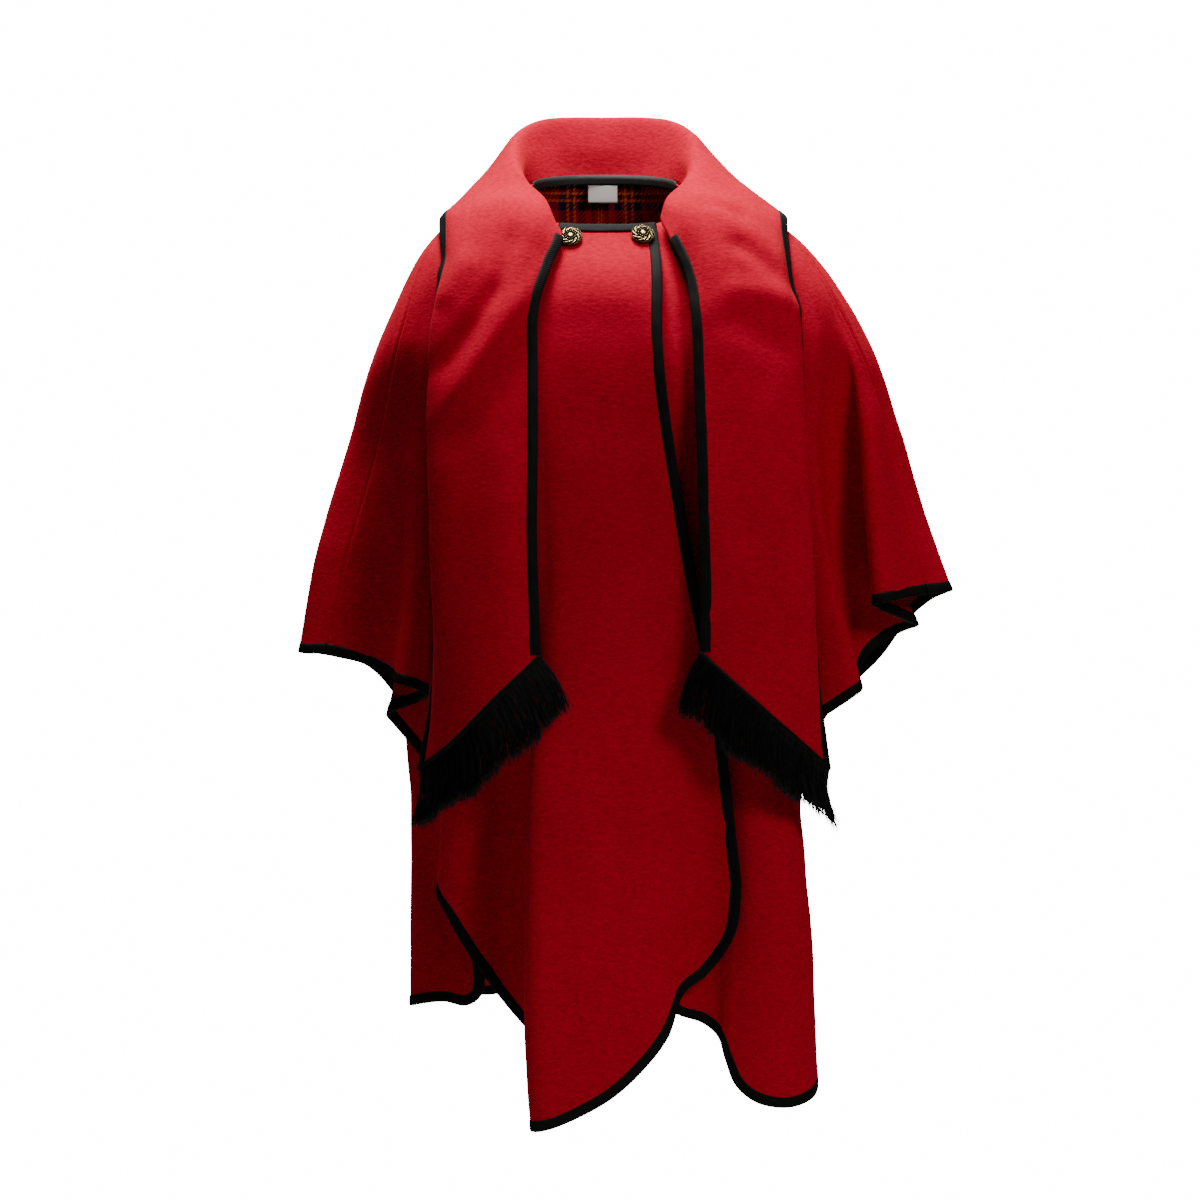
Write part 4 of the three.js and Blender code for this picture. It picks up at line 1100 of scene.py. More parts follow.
@dataclass(frozen=True)
class SatinTape:
    """Woven satin tape with a fine cross rib, for the neck and the label."""

    name: str
    colour: str
    thread: str
    rough: float
    rib_mm: float = 1.2083
    relief_mm: float = 0.3

    def build(self) -> Material:
        """Builds the material.

        Returns:
            A smooth tape whose threads show as fine level lines.
        """
        material, shader = new_material(self.name)
        place = add_node(material, "ShaderNodeTexCoord").outputs["Object"]
        lines = add_node(
            material, "ShaderNodeTexWave",
            {"Vector": place, "Scale": wave_scale(self.rib_mm, WAVE_TURN), "Distortion": 0.4},
            wave_type="BANDS", bands_direction="Z",
        )
        tone = add_node(material, "ShaderNodeValToRGB", {"Fac": lines.outputs["Fac"]})
        set_stops(tone, (0.0, self.thread), (1.0, self.colour))
        bump = add_node(
            material, "ShaderNodeBump",
            {"Height": lines.outputs["Fac"], "Strength": 0.3, "Distance": self.relief_mm * MM},
        )
        set_inputs(shader, {
            "Base Color": tone.outputs["Color"], "Normal": bump.outputs["Normal"],
            "Roughness": self.rough, "IOR": 1.53, "Specular IOR Level": 0.3,
        })
        return material


# The garment
@dataclass
class Finishes:
    """The materials of the cape."""

    wool: Material = field(default_factory=NappedWool().build)
    tartan: Material = field(default_factory=TartanWool().build)
    braid: Material = field(default_factory=FoldedBraid().build)
    thread: Material = field(default_factory=SilkyThread().build)
    brass: Material = field(default_factory=AntiqueBrass().build)
    tape: Material = field(default_factory=SatinTape("black_satin_tape", "#060606", "#030303", 0.65).build)
    label: Material = field(default_factory=SatinTape("white_satin_label", "#F1EFEA", "#D9D6D0", 0.6).build)


@dataclass
class BindingPath:
    """A run of edge places with the cloth on its left, and how far the braid stands out."""

    u: np.ndarray
    v: np.ndarray
    lift: float


@dataclass
class Binding:
    """Foldover braid round an edge of the cloth."""

    name: str
    node: str
    surface: ClothSurface
    paths: Sequence[BindingPath]
    creases: Sequence[Crease]
    thick: float = 0.75
    width: float = BINDING_WIDTH
    steps: int = 8
    # Most that one step may move in u and in v, where the cloth's lines nearly meet.
    most_u: float = 0.6
    most_v: float = 0.06
    # Height in shares of the thickness and share of the swell, at five places from the edge inwards.
    profile: tuple[tuple[float, float], ...] = (
        (0.92, 0.2), (1.15, 1.0), (1.05, 1.0), (0.95, 1.0), (0.2, 0.2),
    )
    # How far the bend stands out of the edge, and the angles in radians of its three points.
    bend_mm: float = 0.95
    bend_angles: tuple[float, ...] = (0.8, 0.0, -0.8)
    # Distances across the flat tape from one point of its section to the next.
    across_mm: tuple[float, ...] = (0.0, 2.6, 2.6, 2.6, 2.6, 1.5, 1.9, 1.9, 1.5, 2.6, 2.6, 2.6, 2.6)

    def walk_in(self, path: BindingPath) -> tuple[list[np.ndarray], list[np.ndarray], np.ndarray]:
        """Walks from the edge into the cloth in short steps along its face.

        Args:
            path: The edge places.

        Returns:
            Points and outward directions at five distances, and the first direction into the cloth.
        """
        u, v = path.u, path.v
        points = self.surface.at(u, v)
        normals = self.surface.normal(u, v)
        tangent = unit(np.gradient(points, axis=0))
        into = unit(np.cross(tangent, normals))
        first = into
        found, facing = [points], [normals]
        for step in range(1, self.steps + 1):
            du, dv = self.surface.along(u, v)
            a, b, c = (du * du).sum(1), (du * dv).sum(1), (dv * dv).sum(1)
            det = np.maximum(a * c - b * b, 0.02 * a * c)
            reach = into * (self.width / self.steps)
            pu, pv = (du * reach).sum(1), (dv * reach).sum(1)
            move_u = np.clip((c * pu - b * pv) / det, -self.most_u, self.most_u)
            move_v = np.clip((a * pv - b * pu) / det, -self.most_v, self.most_v)
            u, v = np.clip(u + move_u, 0, self.surface.last), np.clip(v + move_v, 0, 1)
            normal = self.surface.normal(u, v)
            into = unit(into - normal * (into * normal).sum(1)[:, None])
            if step % 2 == 0:
                found.append(self.surface.at(u, v))
                facing.append(normal)
        return found, facing, first

    def sweep(self, path: BindingPath) -> Mesh:
        """Builds the braid along one path.

        Args:
            path: The edge places.

        Returns:
            The braid.
        """
        found, facing, first = self.walk_in(path)
        run = run_length(found[0])
        # Sewn braid swells and sinks a little along its way.
        swell = 0.18 * np.sin(run / 9.0) + 0.12 * np.sin(run / 4.1 + 1.0)
        outer, inner = [], []
        for point, normal, (share, give) in zip(found, facing, self.profile):
            height = self.thick * share
            outer.append(point + normal * (height + path.lift + swell * give)[:, None])
            inner.append(point - normal * (WALL + height - path.lift * 0.5))
        edge, up = found[0] - facing[0] * (WALL / 2), facing[0]
        half = WALL / 2 + self.thick
        bend = []
        for angle in self.bend_angles:
            out = self.bend_mm * math.cos(angle)
            bend.append(edge - first * out + up * (half * math.sin(angle) + path.lift * 0.7))
        sections = np.stack([*outer[::-1], *bend, *inner], axis=1)
        normals = np.repeat(up[:, None], sections.shape[1], axis=1)
        moved = soften(sections, normals, self.creases, np.ones(sections.shape[:2]))
        across = np.cumsum(self.across_mm)
        return tube(moved, np.stack(np.broadcast_arrays(run[:, None], across[None]), axis=2))

    def build(self, finishes: Finishes) -> bpy.types.Object:
        """Builds the braid on all its paths.

        Args:
            finishes: The materials.

        Returns:
            The piece.
        """
        piece = add_object(self.name, joined([self.sweep(path) for path in self.paths]), [finishes.braid])
        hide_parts(self.node)
        return piece


class Sewn(Enum):
    """Which sides of a panel are sewn over the arms: its first fold line, its last one, or both."""

    FIRST = (True, False)
    LAST = (False, True)
    BOTH = (True, True)


class SeamStep(NamedTuple):
    """A ridge (height above 0) or groove (below 0) beside a seam, in millimetres."""

    height: float
    away: float
    width: float


@dataclass
class Panel:
    """One cut panel of the body with its binding."""

    name: str
    node: str
    surface: ClothSurface
    start: float
    end: float
    sewn: Sewn
    creases: Sequence[Crease]
    flat_size: tuple[float, float]
    flat_area: float
    hangs_from: str = "scarf_collar_cloth"
    column_mm: float = 6.5
    column_v: float = 0.93
    seam_columns: tuple[float, ...] = (0.02, 0.05, 0.09, 0.14, 0.2, 0.27)
    closest_columns: float = 0.012
    rows: int = 132
    # Height of the cloth's soft unevenness, the distance over which it changes, and its shift.
    uneven: tuple[float, float, float] = (0.35, 26.0, 1.7)
    # The row whose middle column the tartan of the back is centred on.
    chart_row: int = 40
    # The seam's groove, the rounded cloth beside it and the line of its topstitching.
    seam_steps: tuple[SeamStep, ...] = (
        SeamStep(-1.1, 0.0, 1.6), SeamStep(0.5, 4.2, 2.2), SeamStep(-0.45, 8.0, 1.1),
    )

    def seams(self) -> list[tuple[float, int]]:
        """Lists the fold lines that are seams, each with the way into the panel."""
        sides = zip(self.sewn.value, ((self.start, 1), (self.end, -1)))
        return [side for is_sewn, side in sides if is_sewn]

    def columns(self) -> np.ndarray:
        """Spaces the columns by the hem's length, closer beside a seam."""
        us = self.surface.even_u(self.start, self.end, self.column_v, self.column_mm)
        extra = [seam + way * share for seam, way in self.seams() for share in self.seam_columns]
        merged = np.unique(np.round(np.concatenate([us, extra]), 4))
        keep = np.concatenate([[True], np.diff(merged) > self.closest_columns])
        keep[-1] = True
        return merged[keep]

    def seam_dip(self, u: np.ndarray, v: np.ndarray) -> np.ndarray:
        """Works out how far the cloth sinks at a seam and stands up beside it, in millimetres."""
        total = np.zeros(np.broadcast(u, v).shape)
        here = self.surface.at(u, v)
        for seam, _ in self.seams():
            away = np.linalg.norm(here - self.surface.at(np.full_like(u, seam), v), axis=-1)
            for step in self.seam_steps:
                total += step.height * np.exp(-(((away - step.away) / step.width) ** 2))
        return total

    def cloth(self) -> Mesh:
        """Builds the panel's cloth as a thin wall.

        Returns:
            The wall in millimetres.
        """
        us = self.columns()
        vs = np.linspace(0, 1, self.rows)
        u, v = np.meshgrid(us, vs, indexing="ij")
        points = self.surface.at(u, v)
        normals = self.surface.normal(u, v)
        fade = smooth_step(0.0, 0.06, v)
        outer = soften(points, normals, self.creases, fade)
        height, size, shift = self.uneven
        uneven = height * ripple(points, size, shift) * fade
        outer = outer + normals * (self.seam_dip(u, v) + uneven)[..., None]
        inner = wall_in(outer, normals)
        across = run_length(points)
        from_middle = np.abs(points[:, self.chart_row, 0] - NECK_CENTRE_X)
        middle = int(np.argmin(from_middle)) if self.sewn is Sewn.BOTH else 0
        flat = np.stack([across - across[middle], -points[..., 2]], axis=2)
        return shell(outer, inner, flat)

    def build(self, finishes: Finishes, binding: Binding) -> bpy.types.Object:
        """Builds the panel and its binding.

        Args:
            finishes: The materials.
            binding: The braid on its edges.

        Returns:
            The cloth piece.
        """
        mesh = self.cloth()
        piece = add_object(self.name, mesh, [finishes.wool, finishes.tartan])
        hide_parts(self.node)
        braid = binding.build(finishes)
        report(piece)
        report(braid)
        return piece


def report(piece: bpy.types.Object) -> None:
    """Logs a piece with its faces and its size."""
    size = [round(s * 1000) for s in piece.dimensions]
    log.info("%s: %d faces, %s mm", piece.name, len(piece.data.polygons), size)


def edge_places(
    surface: ClothSurface, corners: Sequence[tuple[float, float]], lift: float = 0.0, step: float = 3.0,
) -> BindingPath:
    """Spaces places evenly along an edge that runs through corners in u and v.

    Args:
        surface: The cloth.
        corners: Places in u and v that the edge passes.
        lift: How far the braid stands out there, in millimetres.
        step: Distance between places in millimetres.

    Returns:
        The path.
    """
    us, vs = [], []
    for (u0, v0), (u1, v1) in zip(corners, corners[1:]):
        count = int(abs(u1 - u0) * DENSE_U + abs(v1 - v0) * DENSE_V) + 2
        us.append(np.linspace(u0, u1, count)[:-1])
        vs.append(np.linspace(v0, v1, count)[:-1])
    u = np.concatenate([*us, [corners[-1][0]]])
    v = np.concatenate([*vs, [corners[-1][1]]])
    run = run_length(surface.at(u, v))
    even = np.linspace(0, run[-1], int(run[-1] / step) + 2)
    return BindingPath(np.interp(even, run, u), np.interp(even, run, v), lift)


@dataclass
class Body:
    """The two fronts and the back."""

    surface: ClothSurface = field(default_factory=lambda: ClothSurface(body_net()))
    front_creases: tuple[Crease, ...] = (
        Crease(-62, -116, 42, -122, 40, 5.0, 8), Crease(-52, -232, 46, -240, 44, -2.6, -6),
        Crease(-89, -560, -83, -980, 16, 7.0, 0), Crease(-126, -580, -122, -850, 25, -16.0, 4),
        Crease(-30, -560, -36, -940, 32, 1.8, 5), Crease(6, -620, 20, -960, 26, -1.8, -5),
        Crease(98, -560, 100, -840, 24, -9.0, 3), Crease(-250, -200, -282, -480, 20, 3.0, 6),
        Crease(-212, -220, -224, -480, 15, -4.5, 4),
    )
    left_creases: tuple[Crease, ...] = (
        Crease(160, -620, 172, -930, 24, 6.0, 5), Crease(238, -150, 244, -480, 15, -4.5, -5),
        Crease(279, -220, 293, -440, 16, 3.6, -4), Crease(120, -640, 130, -900, 18, -2.2, 4),
        Crease(98, -560, 100, -840, 24, -9.0, 3), Crease(200, -600, 212, -760, 18, -2.4, 3),
    )
    back_creases: tuple[Crease, ...] = (
        Crease(-150, -140, -176, -700, 30, 3.4, 8, True), Crease(-60, -180, -72, -760, 34, -3.4, -8, True),
        Crease(36, -150, 30, -820, 38, 3.8, 7, True), Crease(130, -170, 142, -720, 30, -3.4, -8, True),
        Crease(-120, -90, 100, -96, 34, 2.6, 10, True), Crease(-110, -420, -124, -860, 18, -2.6, 4, True),
        Crease(86, -460, 96, -880, 18, 2.8, -4, True), Crease(-210, -200, -236, -480, 18, 3.0, 5, True),
        Crease(222, -210, 250, -450, 18, 2.8, -5, True),
    )
    neck_lift: float = 0.25

    def build(self, finishes: Finishes) -> None:
        """Builds the three panels with their bindings.

        Args:
            finishes: The materials.
        """
        s = self.surface
        right_neck = edge_places(s, [(RIGHT_NECK_BOUND, 0.0), (0.0, 0.0)], self.neck_lift)
        right_edge = edge_places(s, [(0.0, 0.0), (0.0, 1.0), (RIGHT_SEAM, 1.0)])
        Panel(
            "right_front_cloth", "right_front", s, 0.0, RIGHT_SEAM, Sewn.LAST, self.front_creases,
            (0.66, 0.94), 0.38,
        ).build(finishes, Binding(
            "right_front_braid", "right_front_binding", s, [right_neck, right_edge], self.front_creases,
        ))
        left_edge = edge_places(s, [(LEFT_SEAM, 1.0), (BODY_END, 1.0), (BODY_END, 0.0)])
        left_neck = edge_places(s, [(BODY_END, 0.0), (BODY_END - LEFT_NECK_BOUND, 0.0)], self.neck_lift)
        Panel(
            "left_front_cloth", "left_front", s, LEFT_SEAM, BODY_END, Sewn.FIRST, self.left_creases,
            (0.66, 0.92), 0.34,
        ).build(finishes, Binding(
            "left_front_braid", "left_front_binding", s, [left_edge, left_neck], self.left_creases,
        ))
        hem = edge_places(s, [(RIGHT_SEAM, 1.0), (LEFT_SEAM, 1.0)])
        Panel(
            "back_cloth", "back", s, RIGHT_SEAM, LEFT_SEAM, Sewn.BOTH, self.back_creases,
            (0.94, 0.95), 0.61,
        ).build(finishes, Binding("back_braid", "back_binding", s, [hem], self.back_creases))


@dataclass
class ScarfCollar:
    """The long strip folded over at the neck, with its two hanging tails."""

    surface: ClothSurface = field(
        default_factory=lambda: ClothSurface(np.array(SCARF, float).reshape(-1, 5, 3))
    )
    creases: tuple[Crease, ...] = (
        Crease(-82, -98, -174, -230, 13, 5.0, 3), Crease(-104, -46, -128, -118, 11, -4.0, 3),
        Crease(-126, -112, -186, -194, 11, -5.5, 2), Crease(-150, -70, -178, -120, 14, 3.0, 0),
        Crease(-84, -156, -160, -268, 17, -3.4, 4), Crease(-148, -265, -164, -474, 22, -2.4, 6),
        Crease(-100, -300, -108, -476, 18, 2.0, -4), Crease(94, -9, 142, -28, 9, -4.0, 3),
        Crease(128, -56, 176, -95, 11, -4.6, 4), Crease(122, -108, 190, -122, 14, 3.8, 4),
        Crease(118, -140, 182, -176, 16, -2.6, 4), Crease(164, -224, 186, -440, 18, 2.2, -6),
        Crease(127, -245, 138, -474, 24, -2.2, 6), Crease(-98, 20, -62, -44, 11, -3.5, 4),
        Crease(80, 34, 60, -40, 10, -3.0, -3), Crease(-187, -18, -187, -76, 10, -7.0, 0),
        Crease(190, -24, 196, -110, 10, -7.0, 0),
    )
    column_mm: float = 5.0
    rows: int = 56
    # Width over which the tartan is laid across the strip.
    chart_width: float = 180.0
    # Height of the cloth's soft unevenness, the distance over which it changes, and its shift.
    uneven: tuple[float, float, float] = (0.35, 24.0, 0.6)

    def cloth(self) -> Mesh:
        """Builds the strip as a thin wall.

        Returns:
            The wall in millimetres.
        """
        us = self.surface.even_u(0.0, SCARF_END, 0.5, self.column_mm)
        vs = np.linspace(0, 1, self.rows)
        u, v = np.meshgrid(us, vs, indexing="ij")
        points, normals = self.surface.at(u, v), self.surface.normal(u, v)
        height, size, shift = self.uneven
        uneven = height * ripple(points, size, shift)
        outer = soften(points, normals, self.creases, np.ones(u.shape)) + normals * uneven[..., None]
        run = run_length(points)
        across = np.broadcast_to(np.linspace(0, self.chart_width, self.rows), run.shape)
        return shell(outer, outer - normals * WALL, np.stack([across, run], axis=2))

    def build(self, finishes: Finishes) -> bpy.types.Object:
        """Builds the strip, its bindings and its fringes.

        Args:
            finishes: The materials.

        Returns:
            The cloth piece.
        """
        s = self.surface
        piece = add_object("scarf_collar_cloth", self.cloth(), [finishes.wool, finishes.tartan])
        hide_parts("scarf_collar")
        right_free, left_free = (SCARF_SEWN_RIGHT, 0.0), (SCARF_SEWN_LEFT, 0.0)
        edges = (
            ("scarf_outer_braid", "scarf_outer_binding", (0.0, 1.0), (SCARF_END, 1.0)),
            ("scarf_inner_braid_right", "scarf_inner_binding_right", right_free, (0.0, 0.0)),
            ("scarf_inner_braid_left", "scarf_inner_binding_left", (SCARF_END, 0.0), left_free),
        )
        braids = [
            Binding(name, node, s, [edge_places(s, [first, last])], self.creases).build(finishes)
            for name, node, first, last in edges
        ]
        ends = (
            ("fringe_threads_right", "fringe_right", 0.0, (0.46, -0.25), 3),
            ("fringe_threads_left", "fringe_left", SCARF_END, (-0.22, 0.42), 8),
        )
        fringes = [
            Fringe(name, node, s, end, lean, self.creases, seed).build(finishes)
            for name, node, end, lean, seed in ends
        ]
        for made in (piece, *braids, *fringes):
            report(made)
        return piece


@dataclass
class Fringe:
    """Dense hanging threads below an end of the scarf, under a folded header."""

    name: str
    node: str
    surface: ClothSurface
    end: float
    lean: tuple[float, float]
    creases: Sequence[Crease]
    seed: int
    threads: int = 1500
    length_mm: float = 62.0
    radius_mm: float = 0.48
    # Radius at each ring of a thread, from its root to its tip, in shares of the radius.
    taper: tuple[float, ...] = (1.0, 1.0, 0.98, 0.95, 0.9, 0.85, 0.75, 0.5)
    corners: int = 3
    header_columns: int = 70
    header_corners: int = 12

    def frames(self, v: np.ndarray) -> tuple[np.ndarray, np.ndarray, np.ndarray]:
        """Finds the points of the end edge with their outward and downward directions."""
        u = np.full_like(v, self.end)
        points, out = self.surface.at(u, v), self.surface.normal(u, v)
        points = soften(points, out, self.creases, np.ones(len(v)))
        along = unit(self.surface.along(u, v)[1])
        down = unit(np.cross(out, along)) * (1 if self.end == 0 else -1)
        return points, out, down

    def header(self) -> Mesh:
        """Builds the folded tape that holds the threads.

        Returns:
            The tape.
        """
        points, out, down = self.frames(np.linspace(0.0, 1.0, self.header_columns))
        middle = points - out * (WALL / 2)
        around = np.linspace(0, 2 * math.pi, self.header_corners + 1)[:-1]
        sections = np.stack(
            [middle + down * (1.0 + 3.2 * math.sin(a)) + out * (2.6 * math.cos(a)) for a in around], axis=1,
        )
        flat = np.zeros((*sections.shape[:2], 2))
        return tube(sections, flat, flip=self.end == 0)

    def strands(self) -> Mesh:
        """Builds the threads as thin three-sided tubes.

        Returns:
            The threads.
        """
        rng = np.random.default_rng(self.seed)
        v = np.sort(rng.uniform(0.004, 0.996, self.threads))
        points, out, down = self.frames(v)
        depth = rng.uniform(-1.9, 1.5, self.threads)
        root = points - out * (WALL / 2) + out * depth[:, None] + down * 1.0
        lean = self.lean[0] + (self.lean[1] - self.lean[0]) * v + rng.normal(0, 0.05, self.threads)
        clump = np.sin(v * 47 + self.seed) * 0.05 + np.sin(v * 131 + 2.0) * 0.04
        forward = rng.normal(-0.04, 0.05, self.threads) + depth * 0.015
        fall = unit(np.stack([lean + clump, forward, np.full(self.threads, -1.0)], axis=1))
        uneven = rng.normal(0, 0.035, self.threads) + 0.05 * np.sin(v * 19 + self.seed)
        length = self.length_mm * (1 + uneven)
        rings, count = len(self.taper), self.threads
        curl = rng.normal(0, 1.0, (count, 3)) * 1.6
        phase = rng.uniform(0, 6.28, count)
        spine = np.empty((rings, count, 3))
        spine[0] = here = root
        for k in range(1, rings):
            t = k / (rings - 1)
            way = unit(down * (1 - t) ** 1.6 + fall * (1 - (1 - t) ** 1.6))
            here = here + way * (length / (rings - 1))[:, None]
            spine[k] = here + curl * (np.sin(phase + t * 4.0) * t)[:, None]
        axis = unit(np.gradient(spine, axis=0))
        side = unit(np.cross(axis, np.array([0.0, 1.0, 0.15])))
        other = np.cross(axis, side)
        size = self.radius_mm * rng.uniform(0.75, 1.2, count)
        radius = (size[None] * np.array(self.taper)[:, None])[..., None]
        turns = [2 * math.pi * k / self.corners for k in range(self.corners)]
        rims = [spine + side * (radius * math.cos(a)) + other * (radius * math.sin(a)) for a in turns]
        points = np.stack(rims, axis=2).transpose(1, 0, 2, 3).reshape(-1, 3)
        base = np.arange(count)[:, None, None] * rings * self.corners
        k = np.arange(rings - 1)[None, :, None] * self.corners
        s = np.arange(self.corners)[None, None, :]
        a, b = base + k + s, base + k + (s + 1) % self.corners
        quads = np.stack([a, b, b + self.corners, a + self.corners], axis=3).reshape(-1, 4)
        tips = base[:, :, 0] + (rings - 1) * self.corners + np.arange(self.corners)[None]
        faces = [tuple(q) for q in quads.tolist()] + [tuple(t) for t in tips.tolist()]
        return Mesh(points, faces, [1] * len(faces), np.zeros((len(points), 2)))

    def build(self, finishes: Finishes) -> bpy.types.Object:
        """Builds the header and the threads.

        Args:
            finishes: The materials.

        Returns:
            The piece.
        """
        mesh = joined([self.header(), self.strands()])
        piece = add_object(self.name, mesh, [finishes.braid, finishes.thread])
        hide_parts(self.node)
        return piece


@dataclass
class Button:
    """A domed cast button with a boss, a ring of beads and curling leaves, of a common kind."""

    name: str
    node: str
    surface: ClothSurface
    u: float
    v: float
    turn: float
    radius_mm: float = 12.4
    height_mm: float = 6.0
    relief_mm: float = 1.3
    seat_mm: float = 1.1
    rings: int = 64
    around: int = 240
    petals: int = 6
    beads: int = 15
    leaves: int = 9
    # Below the rim: share of the radius and share of the rim's height of each ring, down to the cloth.
    skirt: tuple[tuple[float, float], ...] = ((1.0, 0.55), (0.97, 0.1), (0.8, 0.02))
    skirt_shade: float = 0.45

    def relief(self, r: np.ndarray, angle: np.ndarray) -> np.ndarray:
        """Works out the relief on the dome from 0 in the hollows to 1 on the high spots."""
        s = r / self.radius_mm
        petals = 0.8 + 0.2 * np.cos(self.petals * angle) * smooth_step(0.06, 0.18, s)
        boss = np.exp(-((s / 0.25) ** 6)) * petals
        beads = np.exp(-(((s - 0.43) / 0.07) ** 2)) * (0.5 + 0.5 * np.cos(self.beads * angle))
        curl = self.leaves * (angle + 2.4 * (s - 0.5))
        leaves = smooth_step(0.56, 0.62, s) * (1 - smooth_step(0.9, 0.95, s))
        leaves = leaves * (0.5 + 0.5 * np.cos(curl)) ** 0.7 * (0.75 + 0.25 * np.cos(2 * curl + 14 * s))
        rim = np.exp(-(((s - 0.98) / 0.03) ** 2)) * 0.5
        return np.clip(boss + beads + leaves + rim, 0, 1)

    def build(self, finishes: Finishes) -> bpy.types.Object:
        """Builds the button on the cloth.

        Args:
            finishes: The materials.

        Returns:
            The piece.
        """
        r = np.linspace(0.02, 1, self.rings) * self.radius_mm
        angle = np.linspace(0, 2 * math.pi, self.around, endpoint=False)
        rr, aa = np.meshgrid(r, angle, indexing="ij")
        high = self.relief(rr, aa)
        dome = self.height_mm * (0.42 + 0.5 * np.sqrt(np.maximum(0, 1 - (rr / self.radius_mm / 1.02) ** 2)))
        z = dome + (high - 0.5) * self.relief_mm
        local = np.stack([rr * np.cos(aa), rr * np.sin(aa), z], axis=2)
        skirt = [local[-1] * [wide, wide, level] for wide, level in self.skirt]
        rows = np.concatenate([local, np.stack(skirt)])
        shade = np.concatenate([high, np.full((len(skirt), self.around), self.skirt_shade)])
        count = len(rows)
        i, j = np.meshgrid(np.arange(count - 1), np.arange(self.around), indexing="ij")
        a, b = i * self.around + j, i * self.around + (j + 1) % self.around
        quads = np.stack([a, a + self.around, b + self.around, b], axis=2).reshape(-1, 4)
        faces = [tuple(q) for q in quads.tolist()]
        faces.append(tuple(range(self.around)))
        faces.append(tuple(range(count * self.around - 1, (count - 1) * self.around - 1, -1)))
        u, v = np.array([self.u]), np.array([self.v])
        place, out = self.surface.at(u, v)[0], self.surface.normal(u, v)[0]
        turn = Vector(out).to_track_quat("Z", "Y").to_matrix() @ Matrix.Rotation(self.turn, 3, "Z")
        points = rows.reshape(-1, 3) @ np.array(turn).T + place + out * self.seat_mm
        mesh = Mesh(points, faces, [0] * len(faces), np.zeros((len(points), 2)))
        piece = add_object(self.name, mesh, [finishes.brass])
        attribute = piece.data.attributes.new("relief", "FLOAT", "POINT")
        attribute.data.foreach_set("value", shade.ravel().astype(np.float32))
        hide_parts(self.node)
        report(piece)
        return piece


@dataclass
class NeckTrim:
    """The tape over the back neck seam and the bare care label under it."""

    tape_thick: float = 1.1
    # How far the tape's back stands off the neck seam, and how far its top stands over it.
    tape_off: float = 3.3
    tape_over: float = 3.0
    # Section of the tape, which is 11 mm high: depth in shares of its thickness, and level.
    tape_profile: tuple[tuple[float, float], ...] = (
        (0.0, 0.6), (0.35, 0.0), (1.0, 0.0), (1.0, -5.0), (1.1, -9.0), (1.0, -11.0), (0.3, -11.0),
        (0.0, -10.4), (0.0, -5.0),
    )
    tape_span: tuple[float, float] = (-248.0, -112.0)
    label_size: tuple[float, float] = (32.0, 19.0)
    label_thick: float = 0.75
    # Middle of the label across the body, and how far in front of and below the seam its top lies.
    label_x: float = -10.0
    label_ahead: float = 4.3
    label_below: float = 8.4

    def tape(self) -> Mesh:
        """Builds the tape round the inside of the neck.

        Returns:
            The tape.
        """
        sections = []
        for degrees in np.linspace(*self.tape_span, 60):
            seam = half_ring_point(NECK_RING, NECK_CENTRE_X, float(degrees))
            into = unit(np.array([NECK_CENTRE_X - seam[0], -seam[1], 0.0]))
            off = self.tape_off + 0.075 * math.sin(degrees * 0.21)
            sections.append([
                seam + into * (off + self.tape_thick * depth) + np.array([0, 0, self.tape_over + level])
                for depth, level in self.tape_profile
            ])
        points = np.array(sections)
        return tube(points, np.zeros((*points.shape[:2], 2)), flip=True)

    def label(self) -> Mesh:
        """Builds the label as a thin folded loop of tape, slightly bowed.

        Returns:
            The label.
        """
        top = half_ring_point(NECK_RING, NECK_CENTRE_X, 180.0)
        width, height = self.label_size
        xs = np.linspace(-width / 2, width / 2, 22)
        zs = np.linspace(0, -height, 14)
        x, z = np.meshgrid(xs, zs, indexing="ij")
        bow = 0.35 * np.sin((z / height) * math.pi) + 0.25 * np.cos(x / width * 5.0)
        y = top[1] - self.label_ahead + bow * 0.5
        front = np.stack([x + self.label_x, y, z + top[2] - self.label_below], axis=2)
        back = front + np.array([0, self.label_thick, 0])
        return shell(back[::-1], front[::-1], np.stack([x, z], axis=2))

    def build(self, finishes: Finishes) -> None:
        """Builds both pieces.

        Args:
            finishes: The materials.
        """
        tape = add_object("neck_tape_satin", self.tape(), [finishes.tape])
        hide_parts("neck_tape")
        label = add_object("care_label_satin", self.label(), [finishes.label, finishes.label])
        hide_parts("care_label")
        report(tape)
        report(label)


class Softbox(NamedTuple):
    """A soft square light: its place and side in metres, and its power in watts."""

    name: str
    place: tuple[float, float, float]
    side: float
    power: float


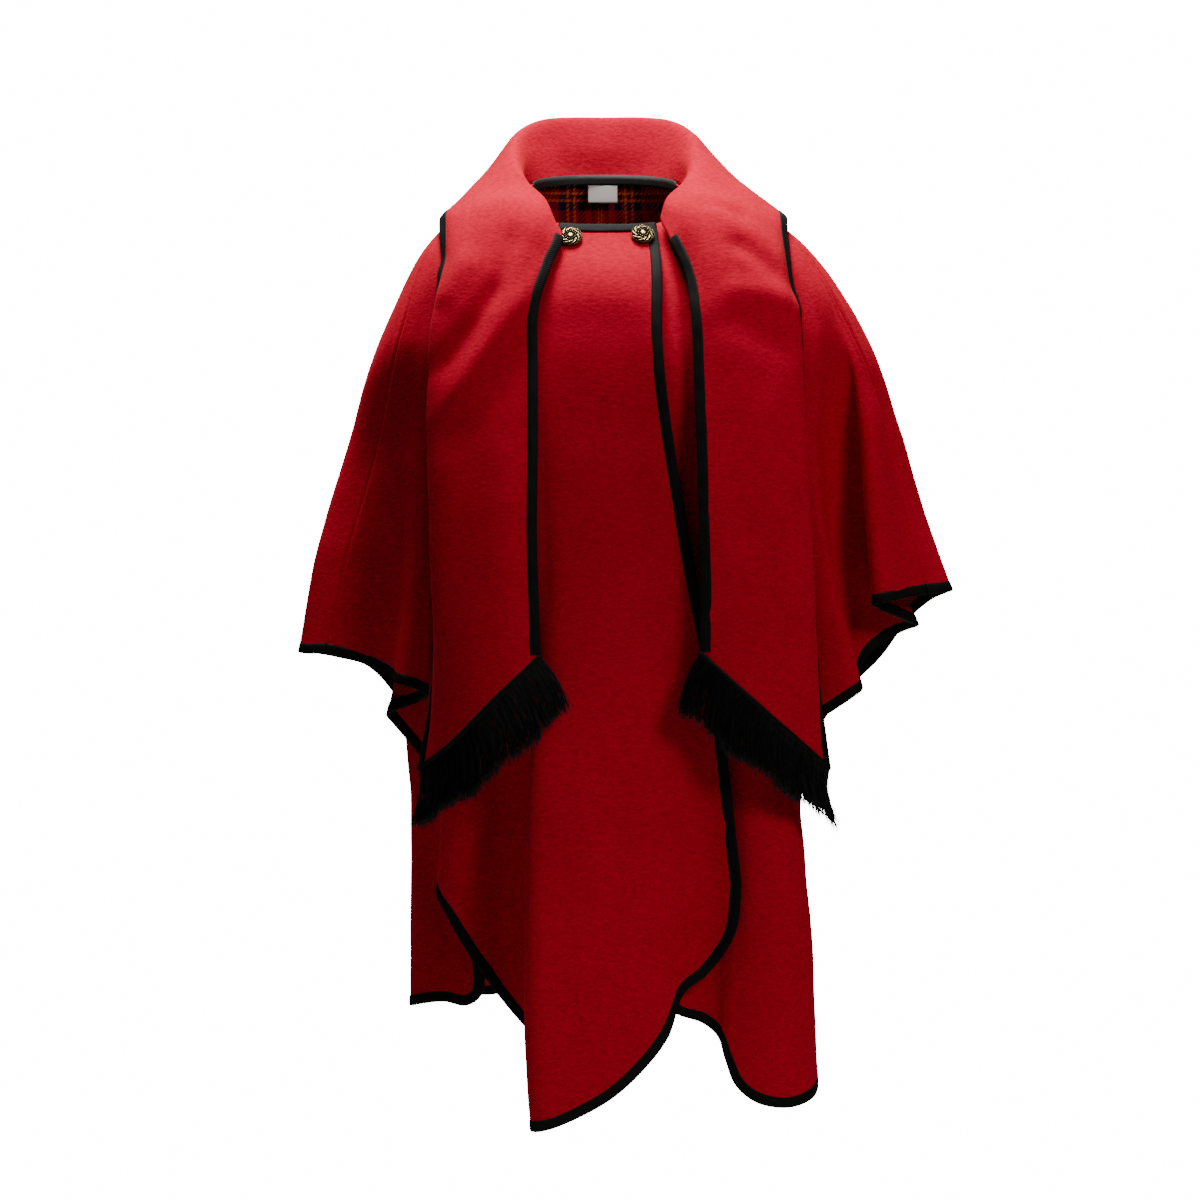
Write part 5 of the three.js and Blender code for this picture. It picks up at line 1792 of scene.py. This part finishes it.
@dataclass
class Studio:
    """Pale floor and backdrop, soft lights and the camera."""

    softboxes: tuple[Softbox, ...] = (
        Softbox("key_softbox", (-0.15, -0.02, 1.4), 0.7, 72.0),
        Softbox("fill_softbox", (1.5, -2.0, 1.0), 0.8, 26.0),
        Softbox("back_softbox", (0.15, 2.5, 1.0), 1.4, 13.0),
    )
    light_aim: tuple[float, float, float] = (0.0, 0.0, -0.45)
    light_tint: tuple[float, float, float] = (1.0, 0.985, 0.965)
    film_width_mm: float = 36.0

    distance: float = 4.0
    frame_width: float = 1.296
    centre_x: float = -0.013
    centre_z: float = -0.432
    floor_z: float = -1.35
    floor_radius: float = 1.5
    seen_white: float = 16.0
    cast_light: float = 0.025

    def floor(self) -> None:
        """Builds a round floor, well below the hem."""
        turns = np.linspace(0, 2 * math.pi, 96, endpoint=False)
        radius = self.floor_radius
        rim = [(radius * math.cos(t), radius * math.sin(t), self.floor_z) for t in turns]
        data = bpy.data.meshes.new("studio_floor")
        data.from_pydata(rim, [], [tuple(range(len(rim)))])
        material, shader = new_material("matt_white_paint")
        set_inputs(shader, {"Base Color": linear("#DAD9D6"), "Roughness": 0.9, "Specular IOR Level": 0.1})
        data.materials.append(material)
        floor = bpy.data.objects.new("studio_floor", data)
        bpy.context.scene.collection.objects.link(floor)

    def light(self, softbox: Softbox) -> None:
        """Adds a softbox that faces the cape.

        Args:
            softbox: The light.
        """
        data = bpy.data.lights.new(softbox.name, "AREA")
        data.energy = softbox.power
        data.size = softbox.side
        data.color = self.light_tint
        lamp = bpy.data.objects.new(softbox.name, data)
        lamp.location = softbox.place
        aim = Vector(self.light_aim) - Vector(softbox.place)
        lamp.rotation_euler = aim.to_track_quat("-Z", "Y").to_euler()
        bpy.context.scene.collection.objects.link(lamp)

    def world(self) -> None:
        """Sets a white surround that looks bright but throws little light on the cloth."""
        world = bpy.data.worlds.new("studio")
        world.use_nodes = True
        nodes, links = world.node_tree.nodes, world.node_tree.links
        strength = nodes.new("ShaderNodeMath")
        strength.operation = "MULTIPLY_ADD"
        links.new(nodes.new("ShaderNodeLightPath").outputs["Is Camera Ray"], strength.inputs[0])
        strength.inputs[1].default_value = self.seen_white
        strength.inputs[2].default_value = self.cast_light
        background = nodes["Background"]
        background.inputs["Color"].default_value = linear("#FFFFFF")
        links.new(strength.outputs[0], background.inputs["Strength"])
        bpy.context.scene.world = world

    def build(self) -> None:
        """Builds the whole studio."""
        self.floor()
        for softbox in self.softboxes:
            self.light(softbox)
        self.world()
        data = bpy.data.cameras.new("camera")
        data.sensor_width = self.film_width_mm
        data.lens = self.film_width_mm * self.distance / self.frame_width
        camera = bpy.data.objects.new("camera", data)
        camera.location = (self.centre_x, -self.distance, self.centre_z)
        camera.rotation_euler = (math.pi / 2, 0.0, 0.0)
        bpy.context.scene.collection.objects.link(camera)
        bpy.context.scene.camera = camera


def main() -> None:
    """Builds the studio and the cape, and logs each piece."""
    logging.basicConfig(level=logging.INFO, format="%(message)s")
    Studio().build()
    finishes = Finishes()
    body = Body()
    body.build(finishes)
    ScarfCollar().build(finishes)
    Button("button_right_relief", "button_right", body.surface, 7.93, 0.022, 0.3).build(finishes)
    Button("button_left_relief", "button_left", body.surface, 1.94, 0.022, 1.1).build(finishes)
    NeckTrim().build(finishes)


if __name__ == "__main__":
    main()
